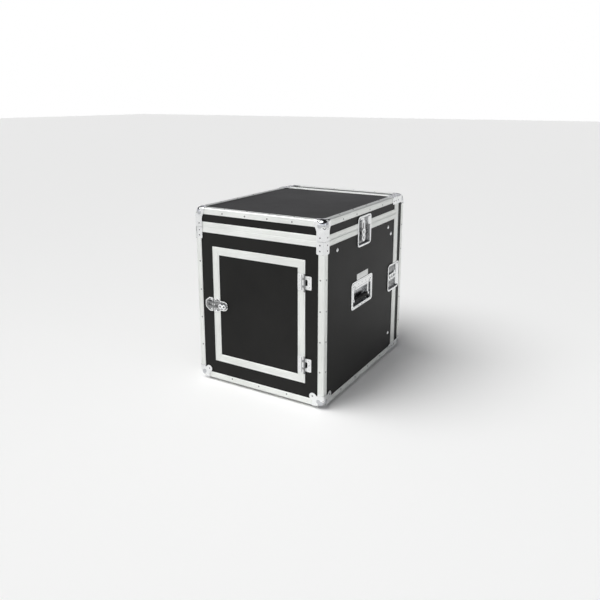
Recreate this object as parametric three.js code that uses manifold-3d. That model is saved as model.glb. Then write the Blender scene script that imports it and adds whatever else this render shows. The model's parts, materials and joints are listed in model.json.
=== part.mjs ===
// Combination equipment rack case: a board shell in aluminium edging, with a lift-off lid over
// the top bay, a pull-off cover over the rack bay, a hinged service door in the end wall,
// recessed spring handles and recessed twist latches.
// Millimetres, +Z up. -Y is the service door end, +Y the rack cover end.
// It is built from the middle of the door end's bottom edge, then centred on its footprint.

import * as THREE from 'three';
import { mergeVertices } from 'three/addons/utils/BufferGeometryUtils.js';
import { RoundedBoxGeometry } from 'three/addons/geometries/RoundedBoxGeometry.js';
import Module from 'manifold-3d';

const wasm = await Module();
wasm.setup();

// Driving dimensions of the shell
const WIDTH = 530;
const DEPTH = 679;
const HEIGHT = 649;
const LID_SEAM = 579; // height of the split between body and lid
const COVER_SEAM = 606; // depth of the split between body and rack cover
const FOOT_HEIGHT = 10;

// Layers, as depths below the envelope that the edging's outer faces make
const GAP = 0.3; // between pieces that touch
const SEAM_GAP = 0.4; // each side of a seam
const EDGING = 1.7; // thickness of the aluminium profiles
const BOARD = 9;
const BOARD_OUT = EDGING + GAP;
const BOARD_IN = BOARD_OUT + BOARD;
const LINER = BOARD_IN + GAP; // where the inner legs of the rims start
const RIM_IN = LINER + 1.5;

// Edging
const EDGE_RADIUS = 4;
const EDGE_LEG = 23;
const RIM_LEG = 19;
const GROOVED_WEB = 6;
const TONGUE = { out: 6, in: 8, height: 4 };
const GROOVE = { out: 5.4, in: 8.6, depth: 4.6 };

// Corner hardware
const PLATING = 1.2;
const BALL_RADIUS = 21.5;
const BALL_INSET = 19;
const BALL_LEG = 42;
const EAR = { centre: [41, 41, 34], radius: 13.5 };
const BRACE_LEG = 30;
const BRACE_LENGTH = 43;
const RIVET_RADIUS = 3;
const BALL_PROUD = BALL_RADIUS - BALL_INSET;

// Recessed twist latch, in its own frame: u along the seam, v across it towards the catch,
// w outwards from the envelope
const LATCH = {
  width: 112, body: 70, catch: 42, radius: 14, border: 7, wall: 1.2, floor: 9.8,
  hub: -31, hubRadius: 5.5, wingRadius: 24, travel: 6,
};
const LID_LATCH_Y = 303;
const COVER_LATCH_Z = 321;

// Recessed handle, in its own frame: u along the case, v up, w outwards
const HANDLE = {
  y: 294, z: 336.5, width: 178, height: 103, radius: 12, trayWidth: 152, trayHeight: 84,
  floor: 18.8, wall: 1.2, plateEdge: 19.5, arm: 62, pivotV: 28, pivotW: -7, reach: 50,
  gripRadius: 8, gripLength: 106, rod: 4,
};

// Service door
const DOOR = {
  halfWidth: 192.5, bottom: 74, top: 510.5, frame: 28.5, edge: 1.5, clearance: 1.2, stop: 14,
};
const HINGE = {
  upper: 434, lower: 142, length: 60, radius: 3.6, pin: 1.8, axisY: -4.2, leaf: 24, sheet: 1.5,
};
const HINGE_X = DOOR.halfWidth + 0.6;
const DOOR_LATCH_Z = 293.5;
const DOOR_LATCH_PROUD = 12;

// Rack rails: ten standard units
const UNIT = 44.45;
const UNITS = 10;
const RAIL_LENGTH = UNIT * UNITS;
const RAIL = { inner: 225, steel: 2, flange: 30, hole: 7, bolt: 15, boltRadius: 3, headRadius: 4.5 };
const RACK_WIDTH = 482.6;
const FRONT_RAIL_FACE = 572;
const FRONT_RAIL_BOTTOM = 73;
const FRONT_RAIL_BOLT = 12.5;
const TOP_RAIL_FACE = 550;
const TOP_RAIL_START = 88;
const TOP_RAIL_BOLT = 5;
const HEADER_DROP = 12;

const FAR = 2000; // longer than any piece

const materials = {
  laminate: { color: 0x1b1b1c, roughness: 0.45, metalness: 0 },
  aluminium: { color: 0xd5d7d4, roughness: 0.4, metalness: 1 },
  chrome: { color: 0xdfe1e2, roughness: 0.2, metalness: 1 },
  rail_steel: { color: 0x2a2b2d, roughness: 0.5, metalness: 0.6 },
  rubber: { color: 0x141414, roughness: 0.8, metalness: 0 },
};

// ---------------------------------------------------------------- solids and placing

function toSolid(geometry) {
  const bare = geometry.clone();
  bare.deleteAttribute('normal');
  bare.deleteAttribute('uv');
  const merged = mergeVertices(bare);
  return new wasm.Manifold(new wasm.Mesh({
    numProp: 3,
    vertProperties: new Float32Array(merged.attributes.position.array),
    triVerts: new Uint32Array(merged.index.array),
  }));
}

function toGeometry(solid) {
  const mesh = solid.getMesh();
  const geometry = new THREE.BufferGeometry();
  geometry.setAttribute('position', new THREE.BufferAttribute(mesh.vertProperties, 3));
  geometry.setIndex(new THREE.BufferAttribute(mesh.triVerts, 1));
  return geometry;
}

function placed(solid, matrix) {
  return toSolid(toGeometry(solid).applyMatrix4(matrix));
}

function joined(solids) {
  return solids.reduce((sum, solid) => sum.add(solid));
}

function without(solid, cutters) {
  return cutters.reduce((rest, cutter) => rest.subtract(cutter), solid);
}

// A block between two limits on each axis; an axis that isn't given runs far past the case
function block({ x = [-FAR, FAR], y = [-FAR, FAR], z = [-FAR, FAR] }) {
  const geometry = new THREE.BoxGeometry(x[1] - x[0], y[1] - y[0], z[1] - z[0]);
  geometry.translate((x[0] + x[1]) / 2, (y[0] + y[1]) / 2, (z[0] + z[1]) / 2);
  return toSolid(geometry);
}

function span(axis, from, to) {
  return block({ [axis]: [Math.min(from, to), Math.max(from, to)] });
}

// The case's envelope, drawn in by a depth; only its outer skins have rounded edges
function envelope(depth) {
  const size = [WIDTH - 2 * depth, DEPTH - 2 * depth, HEIGHT - 2 * depth];
  const geometry = depth <= 0
    ? new RoundedBoxGeometry(...size, 2, EDGE_RADIUS - depth)
    : new THREE.BoxGeometry(...size);
  geometry.translate(0, DEPTH / 2, HEIGHT / 2);
  return toSolid(geometry);
}

const layers = new Map();

// The layer of the shell between two depths
function layer(outer, inner) {
  const key = `${outer} ${inner}`;
  if (!layers.has(key)) layers.set(key, envelope(outer).subtract(envelope(inner)));
  return layers.get(key);
}

function roundedRect(left, right, bottom, top, radii) {
  const [bl, br, tr, tl] = radii;
  const shape = new THREE.Shape();
  shape.moveTo(left + bl, bottom);
  shape.lineTo(right - br, bottom);
  if (br) shape.absarc(right - br, bottom + br, br, -Math.PI / 2, 0);
  shape.lineTo(right, top - tr);
  if (tr) shape.absarc(right - tr, top - tr, tr, 0, Math.PI / 2);
  shape.lineTo(left + tl, top);
  if (tl) shape.absarc(left + tl, top - tl, tl, Math.PI / 2, Math.PI);
  shape.lineTo(left, bottom + bl);
  if (bl) shape.absarc(left + bl, bottom + bl, bl, Math.PI, 1.5 * Math.PI);
  return shape;
}

function slotShape(u, fromV, toV, radius) {
  const shape = new THREE.Shape();
  shape.absarc(u, toV, radius, 0, Math.PI);
  shape.absarc(u, fromV, radius, Math.PI, 2 * Math.PI);
  return shape;
}

// A prism on a shape in the u-v plane, between two heights w
function prism(shape, fromW, toW, curveSegments = 4) {
  const options = { depth: toW - fromW, bevelEnabled: false, curveSegments };
  const geometry = new THREE.ExtrudeGeometry(shape, options);
  geometry.translate(0, 0, fromW);
  return toSolid(geometry);
}

function cell(u, v, w) {
  return block({ x: u, y: v, z: w });
}

function disc(u, v, radius, fromW, toW, sides = 16) {
  const geometry = new THREE.CylinderGeometry(radius, radius, toW - fromW, sides);
  geometry.rotateX(Math.PI / 2);
  geometry.translate(u, v, (fromW + toW) / 2);
  return toSolid(geometry);
}

// A round bar along u
function bar(v, w, radius, fromU, toU, sides = 12) {
  const geometry = new THREE.CylinderGeometry(radius, radius, toU - fromU, sides);
  geometry.rotateZ(Math.PI / 2);
  geometry.translate((fromU + toU) / 2, v, w);
  return toSolid(geometry);
}

// The frame of something fitted on a face: where its origin is, and where v and w point
function faceFrame(origin, v, w) {
  const vAxis = new THREE.Vector3(...v);
  const wAxis = new THREE.Vector3(...w);
  const uAxis = vAxis.clone().cross(wAxis);
  return new THREE.Matrix4().makeBasis(uAxis, vAxis, wAxis).setPosition(...origin);
}

const sides = { left: -1, right: 1 };

function sideFrame(side, y, z, v = [0, 0, 1]) {
  return faceFrame([sides[side] * WIDTH / 2, y, z], v, [sides[side], 0, 0]);
}

const lidLatchFrames = {};
const coverLatchFrames = {};
const handleFrames = {};
for (const side of ['left', 'right']) {
  lidLatchFrames[side] = sideFrame(side, LID_LATCH_Y, LID_SEAM);
  coverLatchFrames[side] = sideFrame(side, COVER_SEAM, COVER_LATCH_Z, [0, 1, 0]);
  handleFrames[side] = sideFrame(side, HANDLE.y, HANDLE.z);
}
const doorLatchFrame = faceFrame([-DOOR.halfWidth, 0, DOOR_LATCH_Z], [-1, 0, 0], [0, -1, 0]);

// ---------------------------------------------------------------- zones and pockets

const bodyZone = block({ y: [-FAR, COVER_SEAM - SEAM_GAP], z: [-FAR, LID_SEAM - SEAM_GAP] });
const lidZone = block({ y: [-FAR, COVER_SEAM - SEAM_GAP], z: [LID_SEAM + SEAM_GAP, FAR] });

// The blocks at the eight corners of the envelope, of a given size
function cornerBlocks(size) {
  const blocks = [];
  for (const x of [-1, 1]) {
    for (const y of [[-FAR, size], [DEPTH - size, FAR]]) {
      for (const z of [[-FAR, size], [HEIGHT - size, FAR]]) {
        const xLimits = x < 0 ? [-FAR, size - WIDTH / 2] : [WIDTH / 2 - size, FAR];
        blocks.push(block({ x: xLimits, y, z }));
      }
    }
  }
  return blocks;
}

const ballRoom = cornerBlocks(BALL_INSET + GAP);
const ballJoint = cornerBlocks(BALL_INSET - 1);

function latchPocket(frame) {
  const half = LATCH.width / 2 - LATCH.border + GAP;
  const low = LATCH.border - LATCH.body - GAP;
  const high = LATCH.catch - LATCH.border + GAP;
  return placed(cell([-half, half], [low, high], [-LINER, LATCH.border]), frame);
}

function handlePocket(frame) {
  const u = HANDLE.trayWidth / 2 + GAP;
  const v = HANDLE.trayHeight / 2 + GAP;
  return placed(cell([-u, u], [-v, v], [-HANDLE.floor - 5, 5]), frame);
}

const lidLatchPockets = Object.values(lidLatchFrames).map(latchPocket);
const coverLatchPockets = Object.values(coverLatchFrames).map(latchPocket);
const handlePockets = Object.values(handleFrames).map(handlePocket);
const sidePockets = [...lidLatchPockets, ...coverLatchPockets, ...handlePockets];

// ---------------------------------------------------------------- boards

const boardX = WIDTH / 2 - BOARD_OUT;
const betweenX = WIDTH / 2 - LINER;
const boardEndY = COVER_SEAM - SEAM_GAP - EDGING - GAP;
const bodyTopZ = LID_SEAM - SEAM_GAP - EDGING - GAP;
const lidWallBottom = LID_SEAM + SEAM_GAP + GROOVED_WEB + GAP;
const coverWallStart = COVER_SEAM + SEAM_GAP + GROOVED_WEB + GAP;

function board(limits, pockets = []) {
  return without(block(limits), [...ballRoom, ...pockets]);
}

// Holes for the rack rails' bolts, as far from the rails' ends as the bolts are
const boltHoles = [
  ...[FRONT_RAIL_BOLT, RAIL_LENGTH - FRONT_RAIL_BOLT]
    .map((v) => [FRONT_RAIL_FACE - RAIL.bolt, FRONT_RAIL_BOTTOM + v]),
  ...[TOP_RAIL_BOLT, RAIL_LENGTH - TOP_RAIL_BOLT]
    .map((v) => [TOP_RAIL_START + v, TOP_RAIL_FACE - RAIL.bolt]),
].flatMap(([y, z]) => Object.keys(sides)
  .map((side) => placed(disc(0, 0, RAIL.boltRadius + GAP, -LINER, 1, 12), sideFrame(side, y, z))));

function basePanel() {
  return board({ x: [-boardX, boardX], y: [BOARD_OUT, boardEndY], z: [BOARD_OUT, BOARD_IN] });
}

function sideLimits(side, depthOut, depthIn) {
  const x = [sides[side] * (WIDTH / 2 - depthOut), sides[side] * (WIDTH / 2 - depthIn)];
  return x.sort((a, b) => a - b);
}

function sidePanel(side) {
  const x = sideLimits(side, BOARD_OUT, BOARD_IN);
  const limits = { x, y: [BOARD_OUT, boardEndY], z: [LINER, bodyTopZ] };
  return board(limits, [...sidePockets, ...boltHoles]);
}

function doorOpening(grow, y) {
  const x = DOOR.halfWidth + grow;
  return block({ x: [-x, x], y, z: [DOOR.bottom - grow, DOOR.top + grow] });
}

// The end wall, with a stop behind the edge of its door opening
function doorWallPanel() {
  const wall = board({ x: [-betweenX, betweenX], y: [BOARD_OUT, BOARD_IN], z: [LINER, bodyTopZ] });
  const stop = doorOpening(DOOR.stop, [BOARD_IN - 1, LINER + BOARD]);
  const hole = doorOpening(DOOR.clearance, [-1, LINER]);
  const throat = doorOpening(-DOOR.stop / 2, [-1, FAR]);
  return without(wall.add(stop), [hole, throat]);
}

function lidTopPanel() {
  const z = [HEIGHT - BOARD_IN, HEIGHT - BOARD_OUT];
  return board({ x: [-boardX, boardX], y: [BOARD_OUT, boardEndY], z });
}

// The glued walls: the board layer all round, kept where the walls are
function lidWalls() {
  const ring = layer(BOARD_OUT, BOARD_IN);
  const kept = block({ y: [-FAR, boardEndY], z: [lidWallBottom, HEIGHT - LINER] });
  return without(ring.intersect(kept), [...ballRoom, ...lidLatchPockets]);
}

function coverPanel() {
  const y = [DEPTH - BOARD_IN, DEPTH - BOARD_OUT];
  return board({ x: [-boardX, boardX], y, z: [BOARD_OUT, HEIGHT - BOARD_OUT] });
}

function coverWalls() {
  const ring = layer(BOARD_OUT, BOARD_IN);
  const kept = block({ y: [coverWallStart, DEPTH - LINER] });
  return without(ring.intersect(kept), [...ballRoom, ...coverLatchPockets]);
}

function doorPanel() {
  return doorOpening(-DOOR.edge - GAP, [BOARD_OUT, BOARD_IN]);
}

// ---------------------------------------------------------------- edging

// A channel that wraps the board edges along a seam; direction -1 is the body's side of it
function rimChannel(axis, seam, direction) {
  const face = seam + direction * SEAM_GAP;
  const end = seam + direction * RIM_LEG;
  const web = direction < 0 ? EDGING : GROOVED_WEB;
  const channel = layer(0, RIM_IN).intersect(span(axis, face, end));
  const slot = layer(EDGING, LINER)
    .intersect(span(axis, face + direction * web, end + direction));
  return channel.subtract(slot);
}

function tongue(axis, seam) {
  const face = seam - SEAM_GAP;
  return layer(TONGUE.out, TONGUE.in).intersect(span(axis, face - EDGING, face + TONGUE.height));
}

function groove(axis, seam) {
  const face = seam + SEAM_GAP;
  return layer(GROOVE.out, GROOVE.in).intersect(span(axis, face - 1, face + GROOVE.depth));
}

const besideTopRim = block({ z: [-FAR, LID_SEAM - RIM_LEG - GAP] });
const besideLidRim = block({ z: [LID_SEAM + RIM_LEG + GAP, FAR] });
const besideFrontRim = block({ y: [-FAR, COVER_SEAM - RIM_LEG - GAP] });
const behindCoverRim = block({ y: [COVER_SEAM + RIM_LEG + GAP, FAR] });

function bodyTopRim() {
  const channel = rimChannel('z', LID_SEAM, -1).intersect(bodyZone);
  const rib = tongue('z', LID_SEAM).intersect(besideFrontRim);
  return without(channel.add(rib), lidLatchPockets);
}

// The rim of the rack opening, closed along the top by a header bar between the two bays
function bodyFrontRim() {
  const channel = rimChannel('y', COVER_SEAM, -1).add(tongue('y', COVER_SEAM));
  const y = [COVER_SEAM - RIM_LEG, COVER_SEAM - SEAM_GAP];
  const low = LID_SEAM - RIM_LEG - GAP;
  const wide = WIDTH / 2 - RIM_IN + 1;
  const narrow = WIDTH / 2 - RIM_IN - GAP;
  const header = [
    block({ x: [-wide, wide], y, z: [low - HEADER_DROP, low] }),
    block({ x: [-narrow, narrow], y, z: [low - 1, LID_SEAM - SEAM_GAP] }),
  ];
  return joined([without(channel.intersect(besideTopRim), coverLatchPockets), ...header]);
}

function lidRim() {
  const lower = rimChannel('z', LID_SEAM, 1).subtract(groove('z', LID_SEAM)).intersect(lidZone);
  const end = rimChannel('y', COVER_SEAM, -1).intersect(block({ z: [LID_SEAM + RIM_LEG - 1, FAR] }));
  return without(lower, lidLatchPockets).add(end);
}

function coverRim() {
  const channel = rimChannel('y', COVER_SEAM, 1).subtract(groove('y', COVER_SEAM));
  return without(channel, coverLatchPockets);
}

const nearLeg = { y: [-FAR, EDGE_LEG] };
const farLeg = { y: [DEPTH - EDGE_LEG, FAR] };
const lowLeg = { z: [-FAR, EDGE_LEG] };
const highLeg = { z: [HEIGHT - EDGE_LEG, FAR] };
const sideLegs = [{ x: [-FAR, EDGE_LEG - WIDTH / 2] }, { x: [WIDTH / 2 - EDGE_LEG, FAR] }];

function profilesAlong(edges, zones, ends) {
  const strips = joined(edges.map((edge) => block(edge)));
  const lengths = zones.reduce((kept, zone) => kept.intersect(zone), layer(0, EDGING));
  return without(lengths.intersect(strips), ends);
}

// ---------------------------------------------------------------- corner hardware

const plating = envelope(-GAP - PLATING).subtract(envelope(-GAP));
const outside = block({}).subtract(envelope(-GAP));
const inside = envelope(LINER);

// A frame at a corner of the envelope: its axes point into the case along the three edges
function cornerFrame(xSide, far, high) {
  const origin = new THREE.Vector3(xSide * WIDTH / 2, far ? DEPTH : 0, high ? HEIGHT : 0);
  const inward = [-xSide, far ? -1 : 1, high ? -1 : 1];
  return { origin, inward };
}

function cornerLimits(corner, reach) {
  const limits = {};
  ['x', 'y', 'z'].forEach((axis, index) => {
    const start = corner.origin.getComponent(index) - 5 * corner.inward[index];
    const end = corner.origin.getComponent(index) + reach[index] * corner.inward[index];
    limits[axis] = [Math.min(start, end), Math.max(start, end)];
  });
  return limits;
}

function ball(corner) {
  const sphere = new THREE.SphereGeometry(BALL_RADIUS, 12, 8);
  const centre = corner.origin.clone();
  centre.add(new THREE.Vector3(...corner.inward).multiplyScalar(BALL_INSET));
  sphere.translate(...centre);
  const room = BALL_INSET;
  const kept = outside.add(block(cornerLimits(corner, [room, room, room])));
  return toSolid(sphere).intersect(kept).subtract(inside);
}

// A round-ended ear on one face, pointing from the corner to where its rivet is
function ear(corner, normal) {
  const along = new THREE.Vector3(...EAR.centre).multiply(new THREE.Vector3(...corner.inward));
  along.setComponent(normal, 0);
  const reach = along.length();
  along.normalize();
  const shape = new THREE.Shape();
  shape.absarc(reach, 0, EAR.radius, -Math.PI / 2, Math.PI / 2);
  shape.lineTo(0, EAR.radius);
  shape.lineTo(0, -EAR.radius);
  const out = new THREE.Vector3().setComponent(normal, 1);
  const across = out.clone().cross(along);
  const matrix = new THREE.Matrix4().makeBasis(along, across, out).setPosition(corner.origin);
  return placed(prism(shape, -8, 8), matrix);
}

function ballCorner(corner, legs, ears) {
  const reaches = [0, 1, 2].map((axis) => {
    const reach = [EDGE_LEG, EDGE_LEG, EDGE_LEG];
    reach[axis] = legs[axis];
    return reach;
  });
  const strips = reaches.map((reach) => block(cornerLimits(corner, reach)));
  const region = joined([...strips, ...ears.map((normal) => ear(corner, normal))]);
  return plating.intersect(region).add(ball(corner));
}

function bodyBallCorner(side) {
  const corner = cornerFrame(sides[side], false, false);
  return ballCorner(corner, [BALL_LEG, BALL_LEG, BALL_LEG], [0, 1, 2]);
}

function lidBallCorner(side) {
  const drop = HEIGHT - LID_SEAM - SEAM_GAP;
  const corner = cornerFrame(sides[side], false, true);
  const wide = block(cornerLimits(corner, [BRACE_LEG, BRACE_LEG, drop]));
  return ballCorner(corner, [36, 36, drop], []).add(plating.intersect(wide));
}

function coverBallCorner(side, high) {
  const run = DEPTH - COVER_SEAM - SEAM_GAP;
  const corner = cornerFrame(sides[side], true, high);
  const wide = block(cornerLimits(corner, [BRACE_LEG, run, BRACE_LEG]));
  return ballCorner(corner, [BALL_LEG, run, BALL_LEG], []).add(plating.intersect(wide));
}

// A bent brace over an edge, with the rivet that fixes it to the profile under it
function brace(side, limits, rivetAt) {
  const edge = sides[side] * WIDTH / 2;
  const x = [edge - sides[side] * BRACE_LEG, edge + sides[side] * BRACE_LEG].sort((a, b) => a - b);
  const rivet = placed(disc(0, 0, RIVET_RADIUS, 0.5 - EDGING, GAP + PLATING + 0.8, 8), rivetAt);
  return plating.intersect(block({ x, ...limits })).add(rivet);
}

// ---------------------------------------------------------------- edge profiles

const sideNames = Object.keys(sides);
const bodySeamZ = LID_SEAM - SEAM_GAP;
const bodySeamY = COVER_SEAM - SEAM_GAP;
const BRACE_RIVET = { inset: 17, drop: 31 };

function bodyEdgeProfiles() {
  const upright = sideLegs.map((leg) => ({ ...leg, ...nearLeg }));
  const bottom = sideLegs.map((leg) => ({ ...leg, ...lowLeg }));
  const edges = [{ ...nearLeg, ...lowLeg }, ...upright, ...bottom];
  const profiles = profilesAlong(edges, [besideTopRim, besideFrontRim], ballRoom);
  const { inset, drop } = BRACE_RIVET;
  const braces = sideNames.flatMap((side) => [
    brace(side, { y: [-5, BRACE_LEG], z: [bodySeamZ - BRACE_LENGTH, bodySeamZ] },
      sideFrame(side, inset, LID_SEAM - drop)),
    brace(side, { y: [bodySeamY - BRACE_LENGTH, bodySeamY], z: [-5, BRACE_LEG] },
      sideFrame(side, COVER_SEAM - drop, inset)),
  ]);
  return joined([profiles, ...braces]);
}

function lidEdgeProfiles() {
  const upright = sideLegs.map((leg) => ({ ...leg, ...nearLeg }));
  const top = sideLegs.map((leg) => ({ ...leg, ...highLeg }));
  const edges = [{ ...nearLeg, ...highLeg }, ...upright, ...top];
  const profiles = profilesAlong(edges, [besideLidRim, besideFrontRim], ballJoint);
  const limits = { y: [bodySeamY - BRACE_LENGTH, bodySeamY], z: [HEIGHT - BRACE_LEG, HEIGHT + 5] };
  const { inset, drop } = BRACE_RIVET;
  const braces = sideNames
    .map((side) => brace(side, limits, sideFrame(side, COVER_SEAM - drop, HEIGHT - inset)));
  return joined([profiles, ...sideNames.map(lidBallCorner), ...braces]);
}

function coverEdgeProfiles() {
  const upright = sideLegs.map((leg) => ({ ...leg, ...farLeg }));
  const short = sideLegs.flatMap((leg) => [{ ...leg, ...lowLeg }, { ...leg, ...highLeg }]);
  const edges = [{ ...farLeg, ...lowLeg }, { ...farLeg, ...highLeg }, ...upright, ...short];
  const profiles = profilesAlong(edges, [behindCoverRim], ballJoint);
  const corners = sideNames.flatMap((side) => [false, true].map((high) => coverBallCorner(side, high)));
  return joined([profiles, ...corners]);
}

// ---------------------------------------------------------------- recessed latches

function latchTray(from, to, radii) {
  const half = LATCH.width / 2;
  const { border, wall, floor } = LATCH;
  const shape = roundedRect(-half, half, from, to, radii);
  const flange = prism(shape, GAP, GAP + PLATING);
  const inner = (inset) => {
    const low = from < -1 ? from + inset : from;
    const high = to > 1 ? to - inset : to;
    return [[inset - half, half - inset], [low, high]];
  };
  const [trayU, trayV] = inner(border);
  const tray = cell(trayU, trayV, [-floor - wall, GAP]);
  const [cavityU, cavityV] = inner(border + wall);
  const open = [cavityV[0] - (from < -1 ? 0 : 5), cavityV[1] + (to > 1 ? 0 : 5)];
  return flange.add(tray).subtract(cell(cavityU, open, [-floor, 5]));
}

function latchDish() {
  const { radius } = LATCH;
  return latchTray(-LATCH.body, -SEAM_GAP, [radius, radius, 0, 0]);
}

function latchCatch() {
  const { radius } = LATCH;
  const tray = latchTray(SEAM_GAP, LATCH.catch, [0, 0, radius, radius]);
  return tray.add(cell([-10, 10], [14, 18], [-LATCH.floor, -7.6]));
}

function latchWing(radius, lobe, hubRadius, low, high, base) {
  const shape = new THREE.Shape();
  const turn = Math.PI * 50 / 180;
  shape.absarc(0, radius - lobe, lobe, -turn, Math.PI + turn);
  shape.absarc(0, lobe - radius, lobe, Math.PI - turn, 2 * Math.PI + turn);
  return prism(shape, low, high, 8).add(disc(0, 0, hubRadius, base, low));
}

function recessedWing() {
  return latchWing(LATCH.wingRadius, 12, LATCH.hubRadius, -3.4, -1.4, -LATCH.floor + GAP);
}

function recessedHook() {
  const plate = prism(roundedRect(-12, 12, LATCH.hub - 15, 22, [6, 6, 3, 3]), -6.2, -4.6);
  const tip = cell([-9, 9], [19, 22], [-7.2, -6.2]);
  const slot = prism(slotShape(0, LATCH.hub - LATCH.travel, LATCH.hub, LATCH.hubRadius + 0.6), -8, -4, 8);
  return plate.add(tip).subtract(slot);
}

// ---------------------------------------------------------------- door latch

const doorLatch = { hub: -44, hubRadius: 4.5, plateTop: 1.8 };

function doorLatchPlate() {
  const wide = prism(roundedRect(-26, 26, -30, -2, [3, 3, 3, 3]), GAP, doorLatch.plateTop);
  const round = prism(roundedRect(-18, 18, -64, -28, [18, 18, 0, 0]), GAP, doorLatch.plateTop, 8);
  return placed(wide.add(round), doorLatchFrame);
}

function doorLatchKeeper() {
  const outline = roundedRect(-26, 26, DOOR.clearance + 1, 36, [3, 3, 16, 16]);
  const plate = prism(outline, GAP - BOARD_OUT, doorLatch.plateTop, 6);
  const lip = cell([-9, 9], [24, 27], [0, 3.4]);
  return placed(plate.add(lip), doorLatchFrame);
}

function doorLatchWing() {
  return latchWing(17, 9, doorLatch.hubRadius, 9.4, DOOR_LATCH_PROUD, doorLatch.plateTop + GAP);
}

function doorLatchHook() {
  const plate = prism(roundedRect(-11, 11, doorLatch.hub - 14, 31, [6, 6, 3, 3]), 4, 5.8);
  const tip = cell([-8, 8], [28, 31], [2.1, 4]);
  const slot = slotShape(0, doorLatch.hub - LATCH.travel, doorLatch.hub, doorLatch.hubRadius + 0.6);
  return plate.add(tip).subtract(prism(slot, 3, 7, 8));
}

// ---------------------------------------------------------------- handles

function handleDish() {
  const { width, height, radius, trayWidth, trayHeight, wall, floor, plateEdge } = HANDLE;
  const flangeShape = roundedRect(-width / 2, width / 2, -height / 2, height / 2, Array(4).fill(radius));
  const flange = prism(flangeShape, GAP - BOARD_OUT, 0);
  const u = trayWidth / 2;
  const v = trayHeight / 2;
  const tray = cell([-u, u], [-v, v], [-floor - wall, -1]);
  const cavity = cell([wall - u, u - wall], [wall - v, v - wall], [-floor, GAP - BOARD_OUT]);
  const mouth = cell([wall - u, u - wall], [wall - v, plateEdge], [-floor, 5]);
  const slots = [-1, 1].map((side) => {
    const middle = side * HANDLE.arm;
    return cell([middle - 4, middle + 4], [0, HANDLE.pivotV + 8], [-floor, 5]);
  });
  return without(flange.add(tray), [cavity, mouth, ...slots]);
}

// The bail hangs from a cross rod behind the pivot plate
function handleBail() {
  const { arm, pivotV, pivotW, reach, rod } = HANDLE;
  const gripV = pivotV - reach;
  const arms = [-1, 1].map((side) => {
    const shape = slotShape(0, gripV, pivotV, 4.5);
    const plate = prism(shape, -1.5, 1.5, 8);
    const turn = new THREE.Matrix4().makeRotationY(Math.PI / 2).setPosition(side * arm, 0, pivotW);
    return placed(plate, turn);
  });
  return joined([...arms, bar(pivotV, pivotW, 3, -arm, arm), bar(gripV, pivotW, rod, -arm, arm)]);
}

function handleGrip() {
  const { pivotV, pivotW, reach, gripRadius, gripLength, rod } = HANDLE;
  const half = gripLength / 2;
  const gripV = pivotV - reach;
  const sleeve = bar(gripV, pivotW, gripRadius, -half, half, 16);
  return sleeve.subtract(bar(gripV, pivotW, rod + GAP + 0.1, -half - 1, half + 1));
}

function labelPlate() {
  const bottom = HANDLE.height / 2 + 1.5;
  const shape = roundedRect(-45, 49, bottom, bottom + 22, [1, 1, 1, 1]);
  return placed(prism(shape, GAP - BOARD_OUT, 1 + GAP - BOARD_OUT, 2), handleFrames.right);
}

// ---------------------------------------------------------------- door hardware

function doorFrame() {
  const whole = doorOpening(0, [0, BOARD_IN]);
  const panelRoom = doorOpening(-DOOR.edge, [EDGING, BOARD_IN + 1]);
  return without(whole, [panelRoom, doorOpening(-DOOR.frame, [-1, EDGING + 1])]);
}

function barrel(radius, z, sideCount = 12) {
  const geometry = new THREE.CylinderGeometry(radius, radius, z[1] - z[0], sideCount);
  geometry.rotateX(Math.PI / 2);
  geometry.translate(HINGE_X, HINGE.axisY, (z[0] + z[1]) / 2);
  return toSolid(geometry);
}

const knuckle = HINGE.length / 3;

function hingeDoorLeaf(z) {
  const half = HINGE.length / 2 - 1;
  const y = [-GAP - HINGE.sheet, -GAP];
  const plate = block({ x: [HINGE_X - 28, HINGE_X - 5], y, z: [z - half, z + half] });
  const middle = [z - knuckle / 2 + GAP, z + knuckle / 2 - GAP];
  const strap = block({ x: [HINGE_X - 6, HINGE_X], y, z: middle });
  const solid = joined([plate, strap, barrel(HINGE.radius, middle)]);
  return solid.subtract(barrel(HINGE.pin + GAP, [z - HINGE.length, z + HINGE.length], 8));
}

function hingeWallLeaf(z) {
  const half = HINGE.length / 2;
  const y = [EDGING - HINGE.sheet, EDGING];
  const plate = block({ x: [HINGE_X + 2, HINGE_X + HINGE.leaf], y, z: [z - 23.5, z + 23.5] });
  const notch = block({ x: [HINGE_X, HINGE_X + 9], y: [-9, 9], z: [z - knuckle / 2, z + knuckle / 2] });
  const ends = [[z - half, z - knuckle / 2 - GAP], [z + knuckle / 2 + GAP, z + half]];
  const knuckles = ends.map((limits) => {
    const x = [HINGE_X + 2, HINGE_X + 2 + HINGE.sheet];
    const riser = block({ x, y: [HINGE.axisY, EDGING], z: limits });
    return riser.add(barrel(HINGE.radius, limits));
  });
  const solid = joined([plate.subtract(notch), ...knuckles]);
  return solid.subtract(barrel(HINGE.pin + GAP, [z - HINGE.length, z + HINGE.length], 8));
}

function hingePin(z) {
  const half = HINGE.length / 2 + GAP;
  const heads = [[z - half - 1.2, z - half], [z + half, z + half + 1.2]];
  const shaft = barrel(HINGE.pin, [z - half, z + half], 8);
  return joined([shaft, ...heads.map((limits) => barrel(HINGE.radius - 0.6, limits, 8))]);
}

// ---------------------------------------------------------------- rack rails

const holeOffsets = [6.35, 22.225, 38.1];
const holeInset = 8.1; // from the equipment's outer edge

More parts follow.
